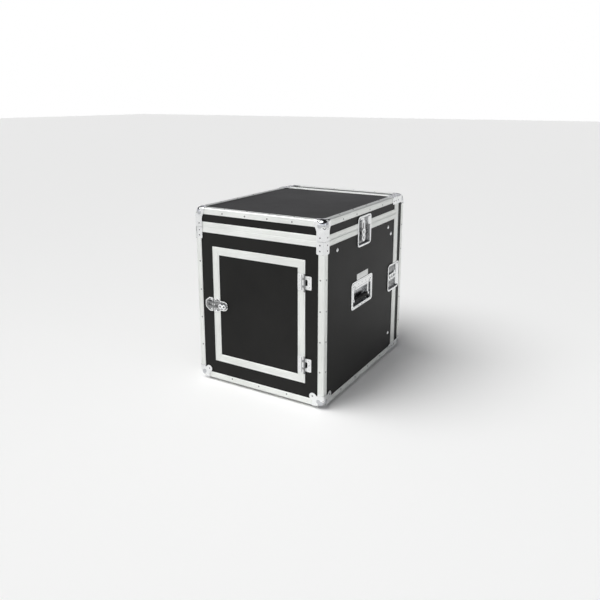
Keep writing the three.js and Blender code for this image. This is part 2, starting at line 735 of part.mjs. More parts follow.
// An angle rail along v: its pierced face lies at w = 0 and runs from u = 0 to the case side,
// where the other flange turns back and is bolted through the side board
function rackRail(boltInset) {
  const faceWidth = WIDTH / 2 - LINER - RAIL.inner;
  const face = roundedRect(0, faceWidth, 0, RAIL_LENGTH, [0, 0, 0, 0]);
  const half = RAIL.hole / 2;
  const u = RACK_WIDTH / 2 - holeInset - RAIL.inner;
  for (let unit = 0; unit < UNITS; unit += 1) {
    for (const offset of holeOffsets) {
      const v = unit * UNIT + offset;
      const corners = [[-half, -half], [-half, half], [half, half], [half, -half]];
      face.holes.push(new THREE.Path(corners.map(([du, dv]) => new THREE.Vector2(u + du, v + dv))));
    }
  }
  const flange = cell([faceWidth - RAIL.steel, faceWidth], [0, RAIL_LENGTH], [-RAIL.flange, 0]);
  const headStart = faceWidth + LINER - BOARD_OUT + GAP;
  const bolts = [boltInset, RAIL_LENGTH - boltInset].flatMap((v) => [
    bar(v, -RAIL.bolt, RAIL.boltRadius, faceWidth - 1, headStart + 1, 12),
    bar(v, -RAIL.bolt, RAIL.headRadius, headStart, headStart + EDGING, 12),
  ]);
  return joined([prism(face, -RAIL.steel, 0), flange, ...bolts]);
}

// The left rail is the right one turned end for end
function frontRailFrame(side) {
  const s = sides[side];
  const z = s > 0 ? FRONT_RAIL_BOTTOM : FRONT_RAIL_BOTTOM + RAIL_LENGTH;
  const u = new THREE.Vector3(s, 0, 0);
  const v = new THREE.Vector3(0, 0, s);
  const w = new THREE.Vector3(0, 1, 0);
  return { u, v, w, origin: [s * RAIL.inner, FRONT_RAIL_FACE, z] };
}

function topRailFrame(side) {
  const s = sides[side];
  const y = s > 0 ? TOP_RAIL_START : TOP_RAIL_START + RAIL_LENGTH;
  const u = new THREE.Vector3(s, 0, 0);
  const v = new THREE.Vector3(0, s, 0);
  const w = new THREE.Vector3(0, 0, 1);
  return { u, v, w, origin: [s * RAIL.inner, y, TOP_RAIL_FACE] };
}

function railMatrix({ u, v, w, origin }) {
  return new THREE.Matrix4().makeBasis(u, v, w).setPosition(...origin);
}

// ---------------------------------------------------------------- feet

const FOOT = { inset: 80, radius: 19, tread: 16 };

function rubberFoot(xSide, y) {
  const geometry = new THREE.CylinderGeometry(FOOT.radius, FOOT.tread, FOOT_HEIGHT + EDGING, 20);
  geometry.rotateX(Math.PI / 2);
  geometry.translate(xSide * (WIDTH / 2 - FOOT.inset), y, (EDGING - FOOT_HEIGHT) / 2);
  return toSolid(geometry);
}

// ---------------------------------------------------------------- assembly

const assembly = new THREE.Group();
assembly.position.set(0, (DOOR_LATCH_PROUD - DEPTH - BALL_PROUD) / 2, FOOT_HEIGHT);

function addPart(name, solid, materialName, matrix = new THREE.Matrix4()) {
  const mesh = new THREE.Mesh(toGeometry(solid), new THREE.MeshStandardMaterial(materials[materialName]));
  mesh.name = name;
  mesh.applyMatrix4(matrix);
  assembly.add(mesh);
}

addPart('base_panel', basePanel(), 'laminate');
addPart('door_wall_panel', doorWallPanel(), 'laminate');
addPart('body_edge_profiles', bodyEdgeProfiles(), 'aluminium');
addPart('body_top_rim', bodyTopRim(), 'aluminium');
addPart('body_front_rim', bodyFrontRim(), 'aluminium');
addPart('label_plate', labelPlate(), 'aluminium');
addPart('door_latch_keeper', doorLatchKeeper(), 'chrome');

addPart('lid_top_panel', lidTopPanel(), 'laminate');
addPart('lid_walls', lidWalls(), 'laminate');
addPart('lid_edge_profiles', lidEdgeProfiles(), 'aluminium');
addPart('lid_rim', lidRim(), 'aluminium');

addPart('cover_panel', coverPanel(), 'laminate');
addPart('cover_walls', coverWalls(), 'laminate');
addPart('cover_edge_profiles', coverEdgeProfiles(), 'aluminium');
addPart('cover_rim', coverRim(), 'aluminium');

addPart('door_panel', doorPanel(), 'laminate');
addPart('door_frame', doorFrame(), 'aluminium');
addPart('door_latch_plate', doorLatchPlate(), 'chrome');

const hubAt = (v) => new THREE.Matrix4().makeTranslation(0, v, 0);
addPart('door_latch_hook', doorLatchHook(), 'chrome', doorLatchFrame);
addPart('door_latch_wing', doorLatchWing(), 'chrome', doorLatchFrame.clone().multiply(hubAt(doorLatch.hub)));

for (const place of ['upper', 'lower']) {
  addPart(`hinge_door_leaf_${place}`, hingeDoorLeaf(HINGE[place]), 'chrome');
  addPart(`hinge_wall_leaf_${place}`, hingeWallLeaf(HINGE[place]), 'chrome');
  addPart(`hinge_pin_${place}`, hingePin(HINGE[place]), 'chrome');
}

for (const side of sideNames) {
  addPart(`side_panel_${side}`, sidePanel(side), 'laminate');
  addPart(`body_ball_corner_${side}`, bodyBallCorner(side), 'chrome');
  addPart(`rubber_foot_door_end_${side}`, rubberFoot(sides[side], FOOT.inset), 'rubber');
  addPart(`rubber_foot_cover_end_${side}`, rubberFoot(sides[side], COVER_SEAM - FOOT.inset), 'rubber');
  const frontRail = railMatrix(frontRailFrame(side));
  const topRail = railMatrix(topRailFrame(side));
  addPart(`front_rack_rail_${side}`, rackRail(FRONT_RAIL_BOLT), 'rail_steel', frontRail);
  addPart(`top_rack_rail_${side}`, rackRail(TOP_RAIL_BOLT), 'rail_steel', topRail);
  addPart(`handle_dish_${side}`, handleDish(), 'chrome', handleFrames[side]);
  addPart(`handle_bail_${side}`, handleBail(), 'chrome', handleFrames[side]);
  addPart(`handle_grip_${side}`, handleGrip(), 'rubber', handleFrames[side]);
  for (const [latch, frames] of [['lid', lidLatchFrames], ['cover', coverLatchFrames]]) {
    const wingFrame = frames[side].clone().multiply(hubAt(LATCH.hub));
    addPart(`${latch}_latch_dish_${side}`, latchDish(), 'chrome', frames[side]);
    addPart(`${latch}_latch_catch_${side}`, latchCatch(), 'chrome', frames[side]);
    addPart(`${latch}_latch_hook_${side}`, recessedHook(), 'chrome', frames[side]);
    addPart(`${latch}_latch_wing_${side}`, recessedWing(), 'chrome', wingFrame);
  }
}

export default assembly;
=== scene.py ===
"""Looks of the equipment rack case: edging, corner hardware, latches, handles and finishes
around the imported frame. Lengths are millimetres in the case's own frame (x from the middle,
y from the door face, z from the shell's underside) until a piece is made."""
import json
import math

import bmesh
import bpy
from mathutils import Matrix, Vector
from mathutils.geometry import delaunay_2d_cdt


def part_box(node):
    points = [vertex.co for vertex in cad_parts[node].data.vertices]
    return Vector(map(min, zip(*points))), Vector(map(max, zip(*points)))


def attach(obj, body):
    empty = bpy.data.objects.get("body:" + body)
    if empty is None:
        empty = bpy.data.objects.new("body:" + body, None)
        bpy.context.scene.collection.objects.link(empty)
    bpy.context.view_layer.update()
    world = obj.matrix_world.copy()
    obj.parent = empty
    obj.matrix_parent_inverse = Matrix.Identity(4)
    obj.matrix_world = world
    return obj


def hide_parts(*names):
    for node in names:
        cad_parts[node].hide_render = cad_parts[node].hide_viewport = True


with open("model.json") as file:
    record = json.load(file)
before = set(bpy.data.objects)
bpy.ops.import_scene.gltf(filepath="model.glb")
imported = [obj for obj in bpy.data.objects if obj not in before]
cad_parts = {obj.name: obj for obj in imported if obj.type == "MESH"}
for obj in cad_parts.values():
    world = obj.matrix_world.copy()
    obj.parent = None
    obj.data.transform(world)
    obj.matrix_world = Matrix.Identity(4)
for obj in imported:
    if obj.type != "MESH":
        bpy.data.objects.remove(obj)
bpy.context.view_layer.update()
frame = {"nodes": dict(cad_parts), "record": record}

MM = 0.001
BOARD_OUT = 2.0  # depth of the boards' outer faces
SEAM_GAP = 0.4  # half of the gap at a seam
EDGING = 1.7  # thickness of the aluminium's outer legs
LINER = 11.3  # depth at which a rim's inner leg starts
RIM_IN = 12.8  # depth at which it ends
EDGE_RADIUS = 4.0
EDGE_LEG = 23.0
RIM_LEG = 19.0
GAP = 0.3  # between pieces that lie on each other
PLATE = 1.2  # thickness of pressed steel
PROUD = GAP + PLATE  # how far a pressed plate stands out

ORIGIN = Vector((0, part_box("door_frame")[0].y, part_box("base_panel")[0].z - BOARD_OUT * MM))
TO_ROW = Matrix.Translation(ORIGIN) @ Matrix.Scale(MM, 4)


def limits(node):
    """A CAD node's lowest and highest corners, in the case's own millimetres."""
    return [(corner - ORIGIN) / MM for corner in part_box(node)]


HALF = limits("side_panel_right")[1].x + BOARD_OUT
DEPTH = limits("cover_panel")[1].y + BOARD_OUT
HEIGHT = limits("lid_top_panel")[1].z + BOARD_OUT
LID_SEAM = limits("lid_rim")[0].z - SEAM_GAP
COVER_SEAM = limits("cover_rim")[0].y - SEAM_GAP
SIDES = {"left": -1, "right": 1}

# Each face of the envelope: its axis, where it is, and which way is inwards
FACES = {
    "left": (0, -HALF, 1), "right": (0, HALF, -1),
    "door": (1, 0.0, 1), "far": (1, DEPTH, -1),
    "bottom": (2, 0.0, 1), "top": (2, HEIGHT, -1),
}


# ---------------------------------------------------------------- materials

def add_node(tree, kind, **values):
    made = tree.nodes.new(kind)
    for key, value in values.items():
        socket = key.replace("_", " ")
        if socket in made.inputs:
            made.inputs[socket].default_value = value
        else:
            setattr(made, key, value)
    return made


def finish_material(name, dark, light, metallic, roughness, grain, bump, stretch=(1, 1, 1),
                    patch=7.0, specular=0.5):
    """A finish whose colour, roughness and relief vary: grain is the relief's fineness per
    metre, patch the colour's, stretch squeezes the grain along an axis."""
    made = bpy.data.materials.new(name)
    made.use_nodes = True
    tree = made.node_tree
    link = tree.links.new
    shader = tree.nodes["Principled BSDF"]
    shader.inputs["Metallic"].default_value = metallic
    shader.inputs["Specular IOR Level"].default_value = specular
    place = add_node(tree, "ShaderNodeTexCoord")
    squeezed = add_node(tree, "ShaderNodeMapping", Scale=stretch)
    link(place.outputs["Object"], squeezed.inputs["Vector"])
    fine = add_node(tree, "ShaderNodeTexNoise", Scale=grain, Detail=3.0)
    broad = add_node(tree, "ShaderNodeTexNoise", Scale=patch, Detail=4.0, Roughness=0.6)
    link(squeezed.outputs["Vector"], fine.inputs["Vector"])
    link(place.outputs["Object"], broad.inputs["Vector"])
    blend = add_node(tree, "ShaderNodeMath", operation="MULTIPLY_ADD")
    blend.inputs[1].default_value = 0.35
    half = add_node(tree, "ShaderNodeMath", operation="MULTIPLY")
    half.inputs[1].default_value = 0.65
    link(broad.outputs["Fac"], half.inputs[0])
    link(fine.outputs["Fac"], blend.inputs[0])
    link(half.outputs[0], blend.inputs[2])
    colours = add_node(tree, "ShaderNodeValToRGB")
    colours.color_ramp.elements[0].position = 0.32
    colours.color_ramp.elements[0].color = (*dark, 1)
    colours.color_ramp.elements[1].position = 0.68
    colours.color_ramp.elements[1].color = (*light, 1)
    link(blend.outputs[0], colours.inputs["Fac"])
    link(colours.outputs["Color"], shader.inputs["Base Color"])
    gloss = add_node(tree, "ShaderNodeMapRange", From_Min=0.3, From_Max=0.7,
                     To_Min=roughness[0], To_Max=roughness[1])
    link(blend.outputs[0], gloss.inputs["Value"])
    link(gloss.outputs["Result"], shader.inputs["Roughness"])
    relief = add_node(tree, "ShaderNodeBump", Strength=bump, Distance=0.0002)
    link(fine.outputs["Fac"], relief.inputs["Height"])
    link(relief.outputs["Normal"], shader.inputs["Normal"])
    return made


ALONG = 0.012  # how much the aluminium's grain is drawn out along the profile
ALUMINIUM = [
    finish_material(
        f"satin_aluminium_{'xyz'[axis]}", (0.74, 0.755, 0.73), (0.90, 0.915, 0.89), 0.82,
        (0.34, 0.5), 900.0, 0.22, stretch=[ALONG if k == axis else 1 for k in range(3)],
    )
    for axis in range(3)
]
LAMINATE = finish_material("black_laminate", (0.0086, 0.0086, 0.0082), (0.017, 0.0168, 0.016), 0.0,
                           (0.36, 0.5), 650.0, 0.35, patch=3.0, specular=0.13)
CHROME = finish_material("bright_zinc_plate", (0.80, 0.81, 0.815), (0.93, 0.94, 0.94), 1.0,
                         (0.1, 0.22), 160.0, 0.05, patch=25.0)
POLISHED_ZINC = finish_material("polished_ball", (0.50, 0.51, 0.53), (0.60, 0.61, 0.63), 1.0,
                                (0.05, 0.12), 120.0, 0.02, patch=25.0)
# Darker zinc that paints the shade inside the handle trays
PAINTED_TRAY_SHADE = finish_material("painted_tray_shade_zinc", (0.34, 0.35, 0.36), (0.62, 0.63, 0.64), 1.0,
                               (0.2, 0.36), 260.0, 0.08, patch=40.0)
# Darker zinc that paints the shade on the latch dishes' floors, inside the door latch's rims and on its
# hook
PAINTED_SHADE_ZINC = finish_material("painted_shade_zinc", (0.14, 0.142, 0.145), (0.42, 0.425, 0.43), 1.0,
                              (0.2, 0.38), 200.0, 0.1, patch=60.0)
RIVET_STEEL = finish_material("rivet_steel", (0.16, 0.16, 0.165), (0.34, 0.345, 0.345), 1.0,
                              (0.22, 0.4), 700.0, 0.1, patch=80.0)
RAIL_STEEL = finish_material("black_rail_steel", (0.012, 0.012, 0.013), (0.028, 0.028, 0.03), 0.0,
                             (0.38, 0.55), 1500.0, 0.3, patch=20.0)
RUBBER = finish_material("matt_rubber", (0.009, 0.009, 0.009), (0.02, 0.02, 0.02), 0.0,
                         (0.6, 0.8), 1100.0, 0.4, patch=30.0)
LABEL = finish_material("brushed_label", (0.74, 0.75, 0.74), (0.88, 0.89, 0.88), 0.45,
                        (0.4, 0.5), 1200.0, 0.15, stretch=(1, ALONG, 1))


# ---------------------------------------------------------------- mesh tools

def face_frame(origin, v, w):
    """The frame of something fitted on a face: where it is, and where its v and w point."""
    v, w = Vector(v), Vector(w)
    u = v.cross(w)
    turn = Matrix((u, v, w)).transposed().to_4x4()
    return Matrix.Translation(origin) @ turn


def side_frame(side, y, z, v=(0, 0, 1)):
    return face_frame((SIDES[side] * HALF, y, z), v, (SIDES[side], 0, 0))


def shift(u, v, w=0.0):
    return Matrix.Translation((u, v, w))


def piece(name, mesh, body, materials, stands_for=(), sharp=32.0, bevel=0.0):
    """Turns a mesh of closed solids into a named piece that rides on a body."""
    bmesh.ops.recalc_face_normals(mesh, faces=mesh.faces)
    for face in mesh.faces:
        face.smooth = True
    for edge in mesh.edges:
        folded = len(edge.link_faces) != 2 or edge.calc_face_angle(0) > math.radians(sharp)
        edge.smooth = bool(bevel) or not folded
    mesh.transform(TO_ROW)
    data = bpy.data.meshes.new(name)
    mesh.to_mesh(data)
    mesh.free()
    for each in materials if isinstance(materials, list) else [materials]:
        data.materials.append(each)
    made = bpy.data.objects.new(name, data)
    bpy.context.scene.collection.objects.link(made)
    if bevel:
        edge = made.modifiers.new("rounded_edges", "BEVEL")
        edge.width = bevel * MM
        edge.segments = 2
        edge.limit_method = "ANGLE"
        edge.angle_limit = math.radians(sharp)
        edge.harden_normals = True
    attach(made, body)
    if stands_for:
        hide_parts(*stands_for)
    return made


def shade_recess(mesh, matrix, below):
    """Gives the second material to the faces that lie below a height of a frame: a darker zinc there
    paints the shade of a recess.
    """
    back = matrix.inverted()
    for face in mesh.faces:
        if max((back @ vert.co).z for vert in face.verts) < below:
            face.material_index = 1


def darken_from(mesh, start):
    """Gives the second material to the faces from a number on."""
    for face in list(mesh.faces)[start:]:
        face.material_index = 1


def add_mesh(target, source):
    """Adds one mesh to another, and frees it."""
    data = bpy.data.meshes.new("part")
    source.to_mesh(data)
    source.free()
    target.from_mesh(data)
    bpy.data.meshes.remove(data)


def arc(centre, radius, start, end, steps=6):
    """Points on an arc, between two angles in degrees."""
    turns = [math.radians(start + (end - start) * k / steps) for k in range(steps + 1)]
    return [(centre[0] + radius * math.cos(t), centre[1] + radius * math.sin(t)) for t in turns]


def rounded(corners, steps=5):
    """A closed outline from (u, v, radius) corners, each rounded to its radius."""
    outline = []
    for k, (u, v, radius) in enumerate(corners):
        point = Vector((u, v))
        before = (Vector(corners[k - 1][:2]) - point).normalized()
        after = (Vector(corners[(k + 1) % len(corners)][:2]) - point).normalized()
        if not radius:
            outline.append(tuple(point))
            continue
        half = before.angle(after) / 2
        centre = point + (before + after).normalized() * (radius / math.sin(half))
        start = point + before * (radius / math.tan(half)) - centre
        end = point + after * (radius / math.tan(half)) - centre
        turn = math.atan2(start.x * end.y - start.y * end.x, start.dot(end))
        for step in range(steps + 1):
            angle = turn * step / steps
            cos, sin = math.cos(angle), math.sin(angle)
            outline.append((centre.x + start.x * cos - start.y * sin,
                            centre.y + start.x * sin + start.y * cos))
    return outline


def rounded_rect(left, right, low, high, radius, steps=5):
    corners = [(left, low, radius), (right, low, radius), (right, high, radius), (left, high, radius)]
    return rounded(corners, steps)


def densified(outline, step):
    """The outline with its long sides divided evenly."""
    points = []
    for k, start in enumerate(outline):
        a, b = Vector(start), Vector(outline[(k + 1) % len(outline)])
        count = max(1, math.ceil((b - a).length / step - 1e-6))
        points += [tuple(a.lerp(b, n / count)) for n in range(count)]
    return points


def is_inside(u, v, outline):
    """Whether a point lies in a closed outline, by counting crossings."""
    crossings = 0
    for k, (u1, v1) in enumerate(outline):
        u0, v0 = outline[k - 1]
        if (v0 > v) != (v1 > v) and u < (u1 - u0) * (v - v0) / (v1 - v0) + u0:
            crossings += 1
    return crossings % 2 == 1


def filled(outlines, step=None):
    """Points and triangles that fill the first outline, less the others. A step adds points
    inside, that far apart."""
    points, edges = [], []
    for outline in outlines:
        start, count = len(points), len(outline)
        points += [Vector(p) for p in outline]
        edges += [(start + k, start + (k + 1) % count) for k in range(count)]
    if step:
        border = list(points)
        us, vs = [p.x for p in border], [p.y for p in border]
        u = min(us) + step / 2
        while u < max(us):
            v = min(vs) + step / 2
            while v < max(vs):
                here = Vector((u, v))
                clear = all((here - p).length_squared > (0.55 * step) ** 2 for p in border)
                if clear and is_inside(u, v, outlines[0]):
                    if not any(is_inside(u, v, hole) for hole in outlines[1:]):
                        points.append(here)
                v += step
            u += step
    inside_only = 1
    made = delaunay_2d_cdt(points, edges, [], inside_only, 1e-5)
    triangles = []
    for triangle in made[2]:
        middle = sum((made[0][k] for k in triangle), Vector((0, 0))) / len(triangle)
        if not any(is_inside(middle.x, middle.y, hole) for hole in outlines[1:]):
            triangles.append(triangle)
    return made[0], triangles


def thicken(mesh, thickness):
    """Closes an open sheet into a solid that thick, on its under side."""
    mesh.normal_update()
    under = {vert: mesh.verts.new(vert.co - vert.normal * thickness) for vert in list(mesh.verts)}
    faces = list(mesh.faces)
    border = [edge for edge in mesh.edges if edge.is_boundary]
    for face in faces:
        mesh.faces.new([under[vert] for vert in reversed(face.verts)])
    for edge in border:
        loop = edge.link_loops[0]
        a, b = loop.vert, loop.link_loop_next.vert
        mesh.faces.new((b, a, under[a], under[b]))


def open_sheet(outlines, surface, step=None):
    """A filled outline laid on a surface(u, v)."""
    sheet = bmesh.new()
    points, triangles = filled(outlines, step)
    verts = [sheet.verts.new(surface(p.x, p.y)) for p in points]
    for triangle in triangles:
        sheet.faces.new([verts[k] for k in triangle])
    return sheet


def add_plate(target, outlines, low, high, matrix, step=None, lift=None):
    """A plate between two heights w, or pressed to a relief lift(u, v) above them."""
    def surface(u, v):
        return matrix @ Vector((u, v, high + (lift(u, v) if lift else 0)))
    sheet = open_sheet(outlines, surface, step)
    thicken(sheet, high - low)
    add_mesh(target, sheet)


def add_plates(target, outlines, low, high, matrix):
    """Several plates between the same two heights."""
    for outline in outlines:
        add_plate(target, [outline], low, high, matrix)


def add_lathe(target, profile, matrix, sides=20):
    """A profile of (radius, w) points turned about w; it starts and ends on the axis."""
    rings = []
    for radius, w in profile:
        if radius < 1e-6:
            rings.append([target.verts.new(matrix @ Vector((0, 0, w)))])
            continue
        turns = [2 * math.pi * k / sides for k in range(sides)]
        rings.append([
            target.verts.new(matrix @ Vector((radius * math.cos(t), radius * math.sin(t), w)))
            for t in turns
        ])
    for low, high in zip(rings, rings[1:]):
        for k in range(sides):
            n = (k + 1) % sides
            corners = [low[k % len(low)], low[n % len(low)], high[n % len(high)], high[k % len(high)]]
            corners = list(dict.fromkeys(corners))
            if len(corners) > 2:
                target.faces.new(corners)


def add_loft(target, loops):
    """Closed rings of as many points each, joined in turn and capped at both ends."""
    rings = [[target.verts.new(p) for p in loop] for loop in loops]
    for low, high in zip(rings, rings[1:]):
        for k in range(len(low)):
            n = (k + 1) % len(low)
            target.faces.new((low[k], low[n], high[n], high[k]))
    caps = [target.faces.new(rings[0]), target.faces.new(rings[-1])]
    bmesh.ops.triangulate(target, faces=caps)


def add_tube(target, path, radius, sides=12):
    """A round bar along a bent path, closed at its ends."""
    points = [Vector(p) for p in path]
    steps = [(b - a).normalized() for a, b in zip(points, points[1:])]
    tangents = [steps[0]] + [(a + b).normalized() for a, b in zip(steps, steps[1:])] + [steps[-1]]
    side = tangents[0].orthogonal().normalized()
    loops = []
    for point, tangent in zip(points, tangents):
        side = (side - tangent * side.dot(tangent)).normalized()
        up = tangent.cross(side)
        turns = [2 * math.pi * k / sides for k in range(sides)]
        loops.append([point + radius * (side * math.cos(t) + up * math.sin(t)) for t in turns])
    add_loft(target, loops)


def add_sweep(target, section, stations):
    """A closed section carried through stations(first, second), and capped at both ends.
    Each face takes the material of the axis that it runs along."""
    rows = [[target.verts.new(p) for p in stations(a, b)] for a, b in section]
    for k, row in enumerate(rows):
        other = rows[(k + 1) % len(rows)]
        for n in range(len(row) - 1):
            face = target.faces.new((row[n], row[n + 1], other[n + 1], other[n]))
            along = row[n + 1].co - row[n].co
            face.material_index = max(range(3), key=lambda axis: abs(along[axis]))
    for end in (0, -1):
        cap = target.faces.new([row[end] for row in rows])
        cap.material_index = face.material_index
        bmesh.ops.triangulate(target, faces=[cap])


def cut_away(mesh, matrix, v, keep):
    """Cuts a closed solid at a height v of a frame, keeps one side and closes the cut."""
    where = matrix @ Vector((0, v, 0))
    normal = (matrix.to_3x3() @ Vector((0, 1, 0))) * keep
    everything = list(mesh.verts) + list(mesh.edges) + list(mesh.faces)
    made = bmesh.ops.bisect_plane(mesh, geom=everything, plane_co=where, plane_no=-normal,
                                  clear_outer=True)
    rim = [e for e in made["geom_cut"] if isinstance(e, bmesh.types.BMEdge)]
    bmesh.ops.triangle_fill(mesh, edges=rim, use_beauty=True)


# ---------------------------------------------------------------- edging sections

LINE_DEPTH = 0.7  # of the fine grooves along the profiles
ANGLE_LINES = (19.8, 7.2)  # where they run on an edge profile's leg, from its corner
RIM_LINES = (15.4, 4.6)  # and on a rim's, from the seam


def outer_line(far, near, lines):
    """(distance, depth) points from a leg's free edge in to its corner, across fine grooves."""
    points = [(far, 0.4), (far - 0.4, 0)]
    for line in sorted(lines, reverse=True):
        points += [(line + 0.8, 0), (line + 0.5, LINE_DEPTH)]
        points += [(line - 0.5, LINE_DEPTH), (line - 0.8, 0)]
    return points + [(near, 0)]


def angle_section():
    """An edge profile: an angle with a rounded corner, as depths below its two faces."""
    leg = outer_line(EDGE_LEG, EDGE_RADIUS, ANGLE_LINES)
    corner = arc((EDGE_RADIUS, EDGE_RADIUS), EDGE_RADIUS, 270, 180)
    inner = [(EDGING, EDGE_LEG), (EDGING, EDGING), (EDGE_LEG, EDGING)]
    return leg + corner[1:-1] + [(b, a) for a, b in reversed(leg)] + inner


# A seam's joint, as (depth, height from the seam) points: a tongue in the body, a groove opposite
TONGUE = [(6, 0), (6, -3.4), (6.5, -4), (7.5, -4), (8, -3.4), (8, 0)]
GROOVE = [(5.4, 0), (5.4, 4.6), (8.6, 4.6), (8.6, 0)]


def rim_section(web, joint):
    """A channel over the board's edge, as (depth, height from the seam) points."""
    free = RIM_LEG - SEAM_GAP
    outer = [(depth, height) for height, depth in outer_line(free, 0.6, RIM_LINES)]
    inner = [(RIM_IN, 0), (RIM_IN, free), (LINER, free), (LINER, web), (EDGING, web), (EDGING, free)]
    return outer + [(0.6, 0)] + joint + inner


INNER_LEG = [(LINER, 0), (RIM_IN, 0), (RIM_IN, RIM_LEG - SEAM_GAP), (LINER, RIM_LEG - SEAM_GAP)]


def edge_point(face_a, face_b, a, b, along):
    """A point near the edge of two faces: its depths below each, and its place along it."""
    place = Vector((0, 0, 0))
    (axis_a, at_a, in_a), (axis_b, at_b, in_b) = FACES[face_a], FACES[face_b]
    place[axis_a] = at_a + in_a * a
    place[axis_b] = at_b + in_b * b
    place[3 - axis_a - axis_b] = along
    return place


def straight(face_a, face_b, start, end):
    """A run along the edge of two faces; section points are depths below each of them."""
    return lambda a, b: [edge_point(face_a, face_b, a, b, along) for along in (start, end)]


def around(corners, inward, lift, steps=4):
    """A run past rectangle corners; lift(point, height) places a plan point in space."""
    corners = [Vector(c) for c in corners]
    inward = [Vector(n) for n in inward]

    def stations(depth, height):
        plan = [corners[0] + inward[0] * depth]
        radius = max(EDGE_RADIUS - depth, 0.05)
        for corner, before, after in zip(corners[1:], inward, inward[1:]):
            centre = corner + (before + after) * (depth + radius)
            for k in range(steps + 1):
                turn = math.pi / 2 * k / steps
                plan.append(centre - radius * (before * math.cos(turn) + after * math.sin(turn)))
        plan.append(corners[-1] + inward[-1] * depth)
        return [lift(point, height) for point in plan]
    return stations


def lid_seam_lift(direction):
    return lambda p, h: Vector((p.x, p.y, LID_SEAM + direction * (SEAM_GAP + h)))


def cover_seam_lift(direction):
    return lambda p, h: Vector((p.x, COVER_SEAM + direction * (SEAM_GAP + h), p.y))


# ---------------------------------------------------------------- latch and handle places

LATCH_HALF = 56.0  # half the dish across the latch
LATCH_BODY = 70.0  # how far it reaches over the body from the seam
LATCH_CATCH = 42.0  # and over the lid or cover
POCKET_HALF = 49.3  # half of the cut in the profiles for it
LID_LATCH_Y = sum(corner.y for corner in limits("lid_latch_dish_right")) / 2
COVER_LATCH_Z = sum(corner.z for corner in limits("cover_latch_dish_right")) / 2
LATCH_FRAMES = {
    ("lid", side): side_frame(side, LID_LATCH_Y, LID_SEAM) for side in SIDES
} | {
    ("cover", side): side_frame(side, COVER_SEAM, COVER_LATCH_Z, (0, 1, 0)) for side in SIDES
}
HANDLE_Y = sum(corner.y for corner in limits("handle_dish_right")) / 2
HANDLE_Z = sum(corner.z for corner in limits("handle_dish_right")) / 2


# ---------------------------------------------------------------- edging pieces

CORNER_ROOM = 20.0  # the profiles end this far from the envelope's corners
TOP_LEG_END = LID_SEAM - RIM_LEG - GAP
FRONT_LEG_END = COVER_SEAM - RIM_LEG - GAP
LID_LEG_START = LID_SEAM + RIM_LEG + GAP
COVER_LEG_START = COVER_SEAM + RIM_LEG + GAP


def edging(name, body, node, runs):
    mesh = bmesh.new()
    for run in runs:
        add_sweep(mesh, angle_section(), straight(*run))
    return piece(name, mesh, body, ALUMINIUM, [node])


def make_edging():
    room = CORNER_ROOM
    body_runs = [("door", "bottom", room - HALF, HALF - room)]
    lid_runs = [("door", "top", room - HALF, HALF - room)]
    cover_runs = [("far", end, room - HALF, HALF - room) for end in ("bottom", "top")]
    for side in SIDES:
        body_runs += [(side, "door", room, TOP_LEG_END), (side, "bottom", room, FRONT_LEG_END)]
        lid_runs += [(side, "door", LID_LEG_START, HEIGHT - room), (side, "top", room, FRONT_LEG_END)]
        cover_runs += [(side, "far", room, HEIGHT - room)]
        cover_runs += [(side, end, COVER_LEG_START, DEPTH - room) for end in ("bottom", "top")]
    edging("body_edging", "case", "body_edge_profiles", body_runs)
    edging("lid_edging", "lid", "lid_edge_profiles", lid_runs)
    edging("cover_edging", "rack_cover", "cover_edge_profiles", cover_runs)


def add_cut_run(mesh, section, corners, inward, lift, middle, axis):
    """A rim run with its first and last straights broken at a latch pocket, where only the
    inner leg goes on."""
    first, last = corners[0], corners[-1]
    low, high = middle - POCKET_HALF, middle + POCKET_HALF
    near, far = (low, high) if first[axis] > high else (high, low)

    def moved(corner, value):
        point = list(corner)
        point[axis] = value
        return tuple(point)
    between = [moved(first, near), *corners[1:-1], moved(last, near)]
    add_sweep(mesh, section, around(between, inward, lift))
    for end, normal in ((first, inward[0]), (last, inward[-1])):
        add_sweep(mesh, section, around([end, moved(end, far)], [normal], lift))
        add_sweep(mesh, INNER_LEG, around([moved(end, far), moved(end, near)], [normal], lift))


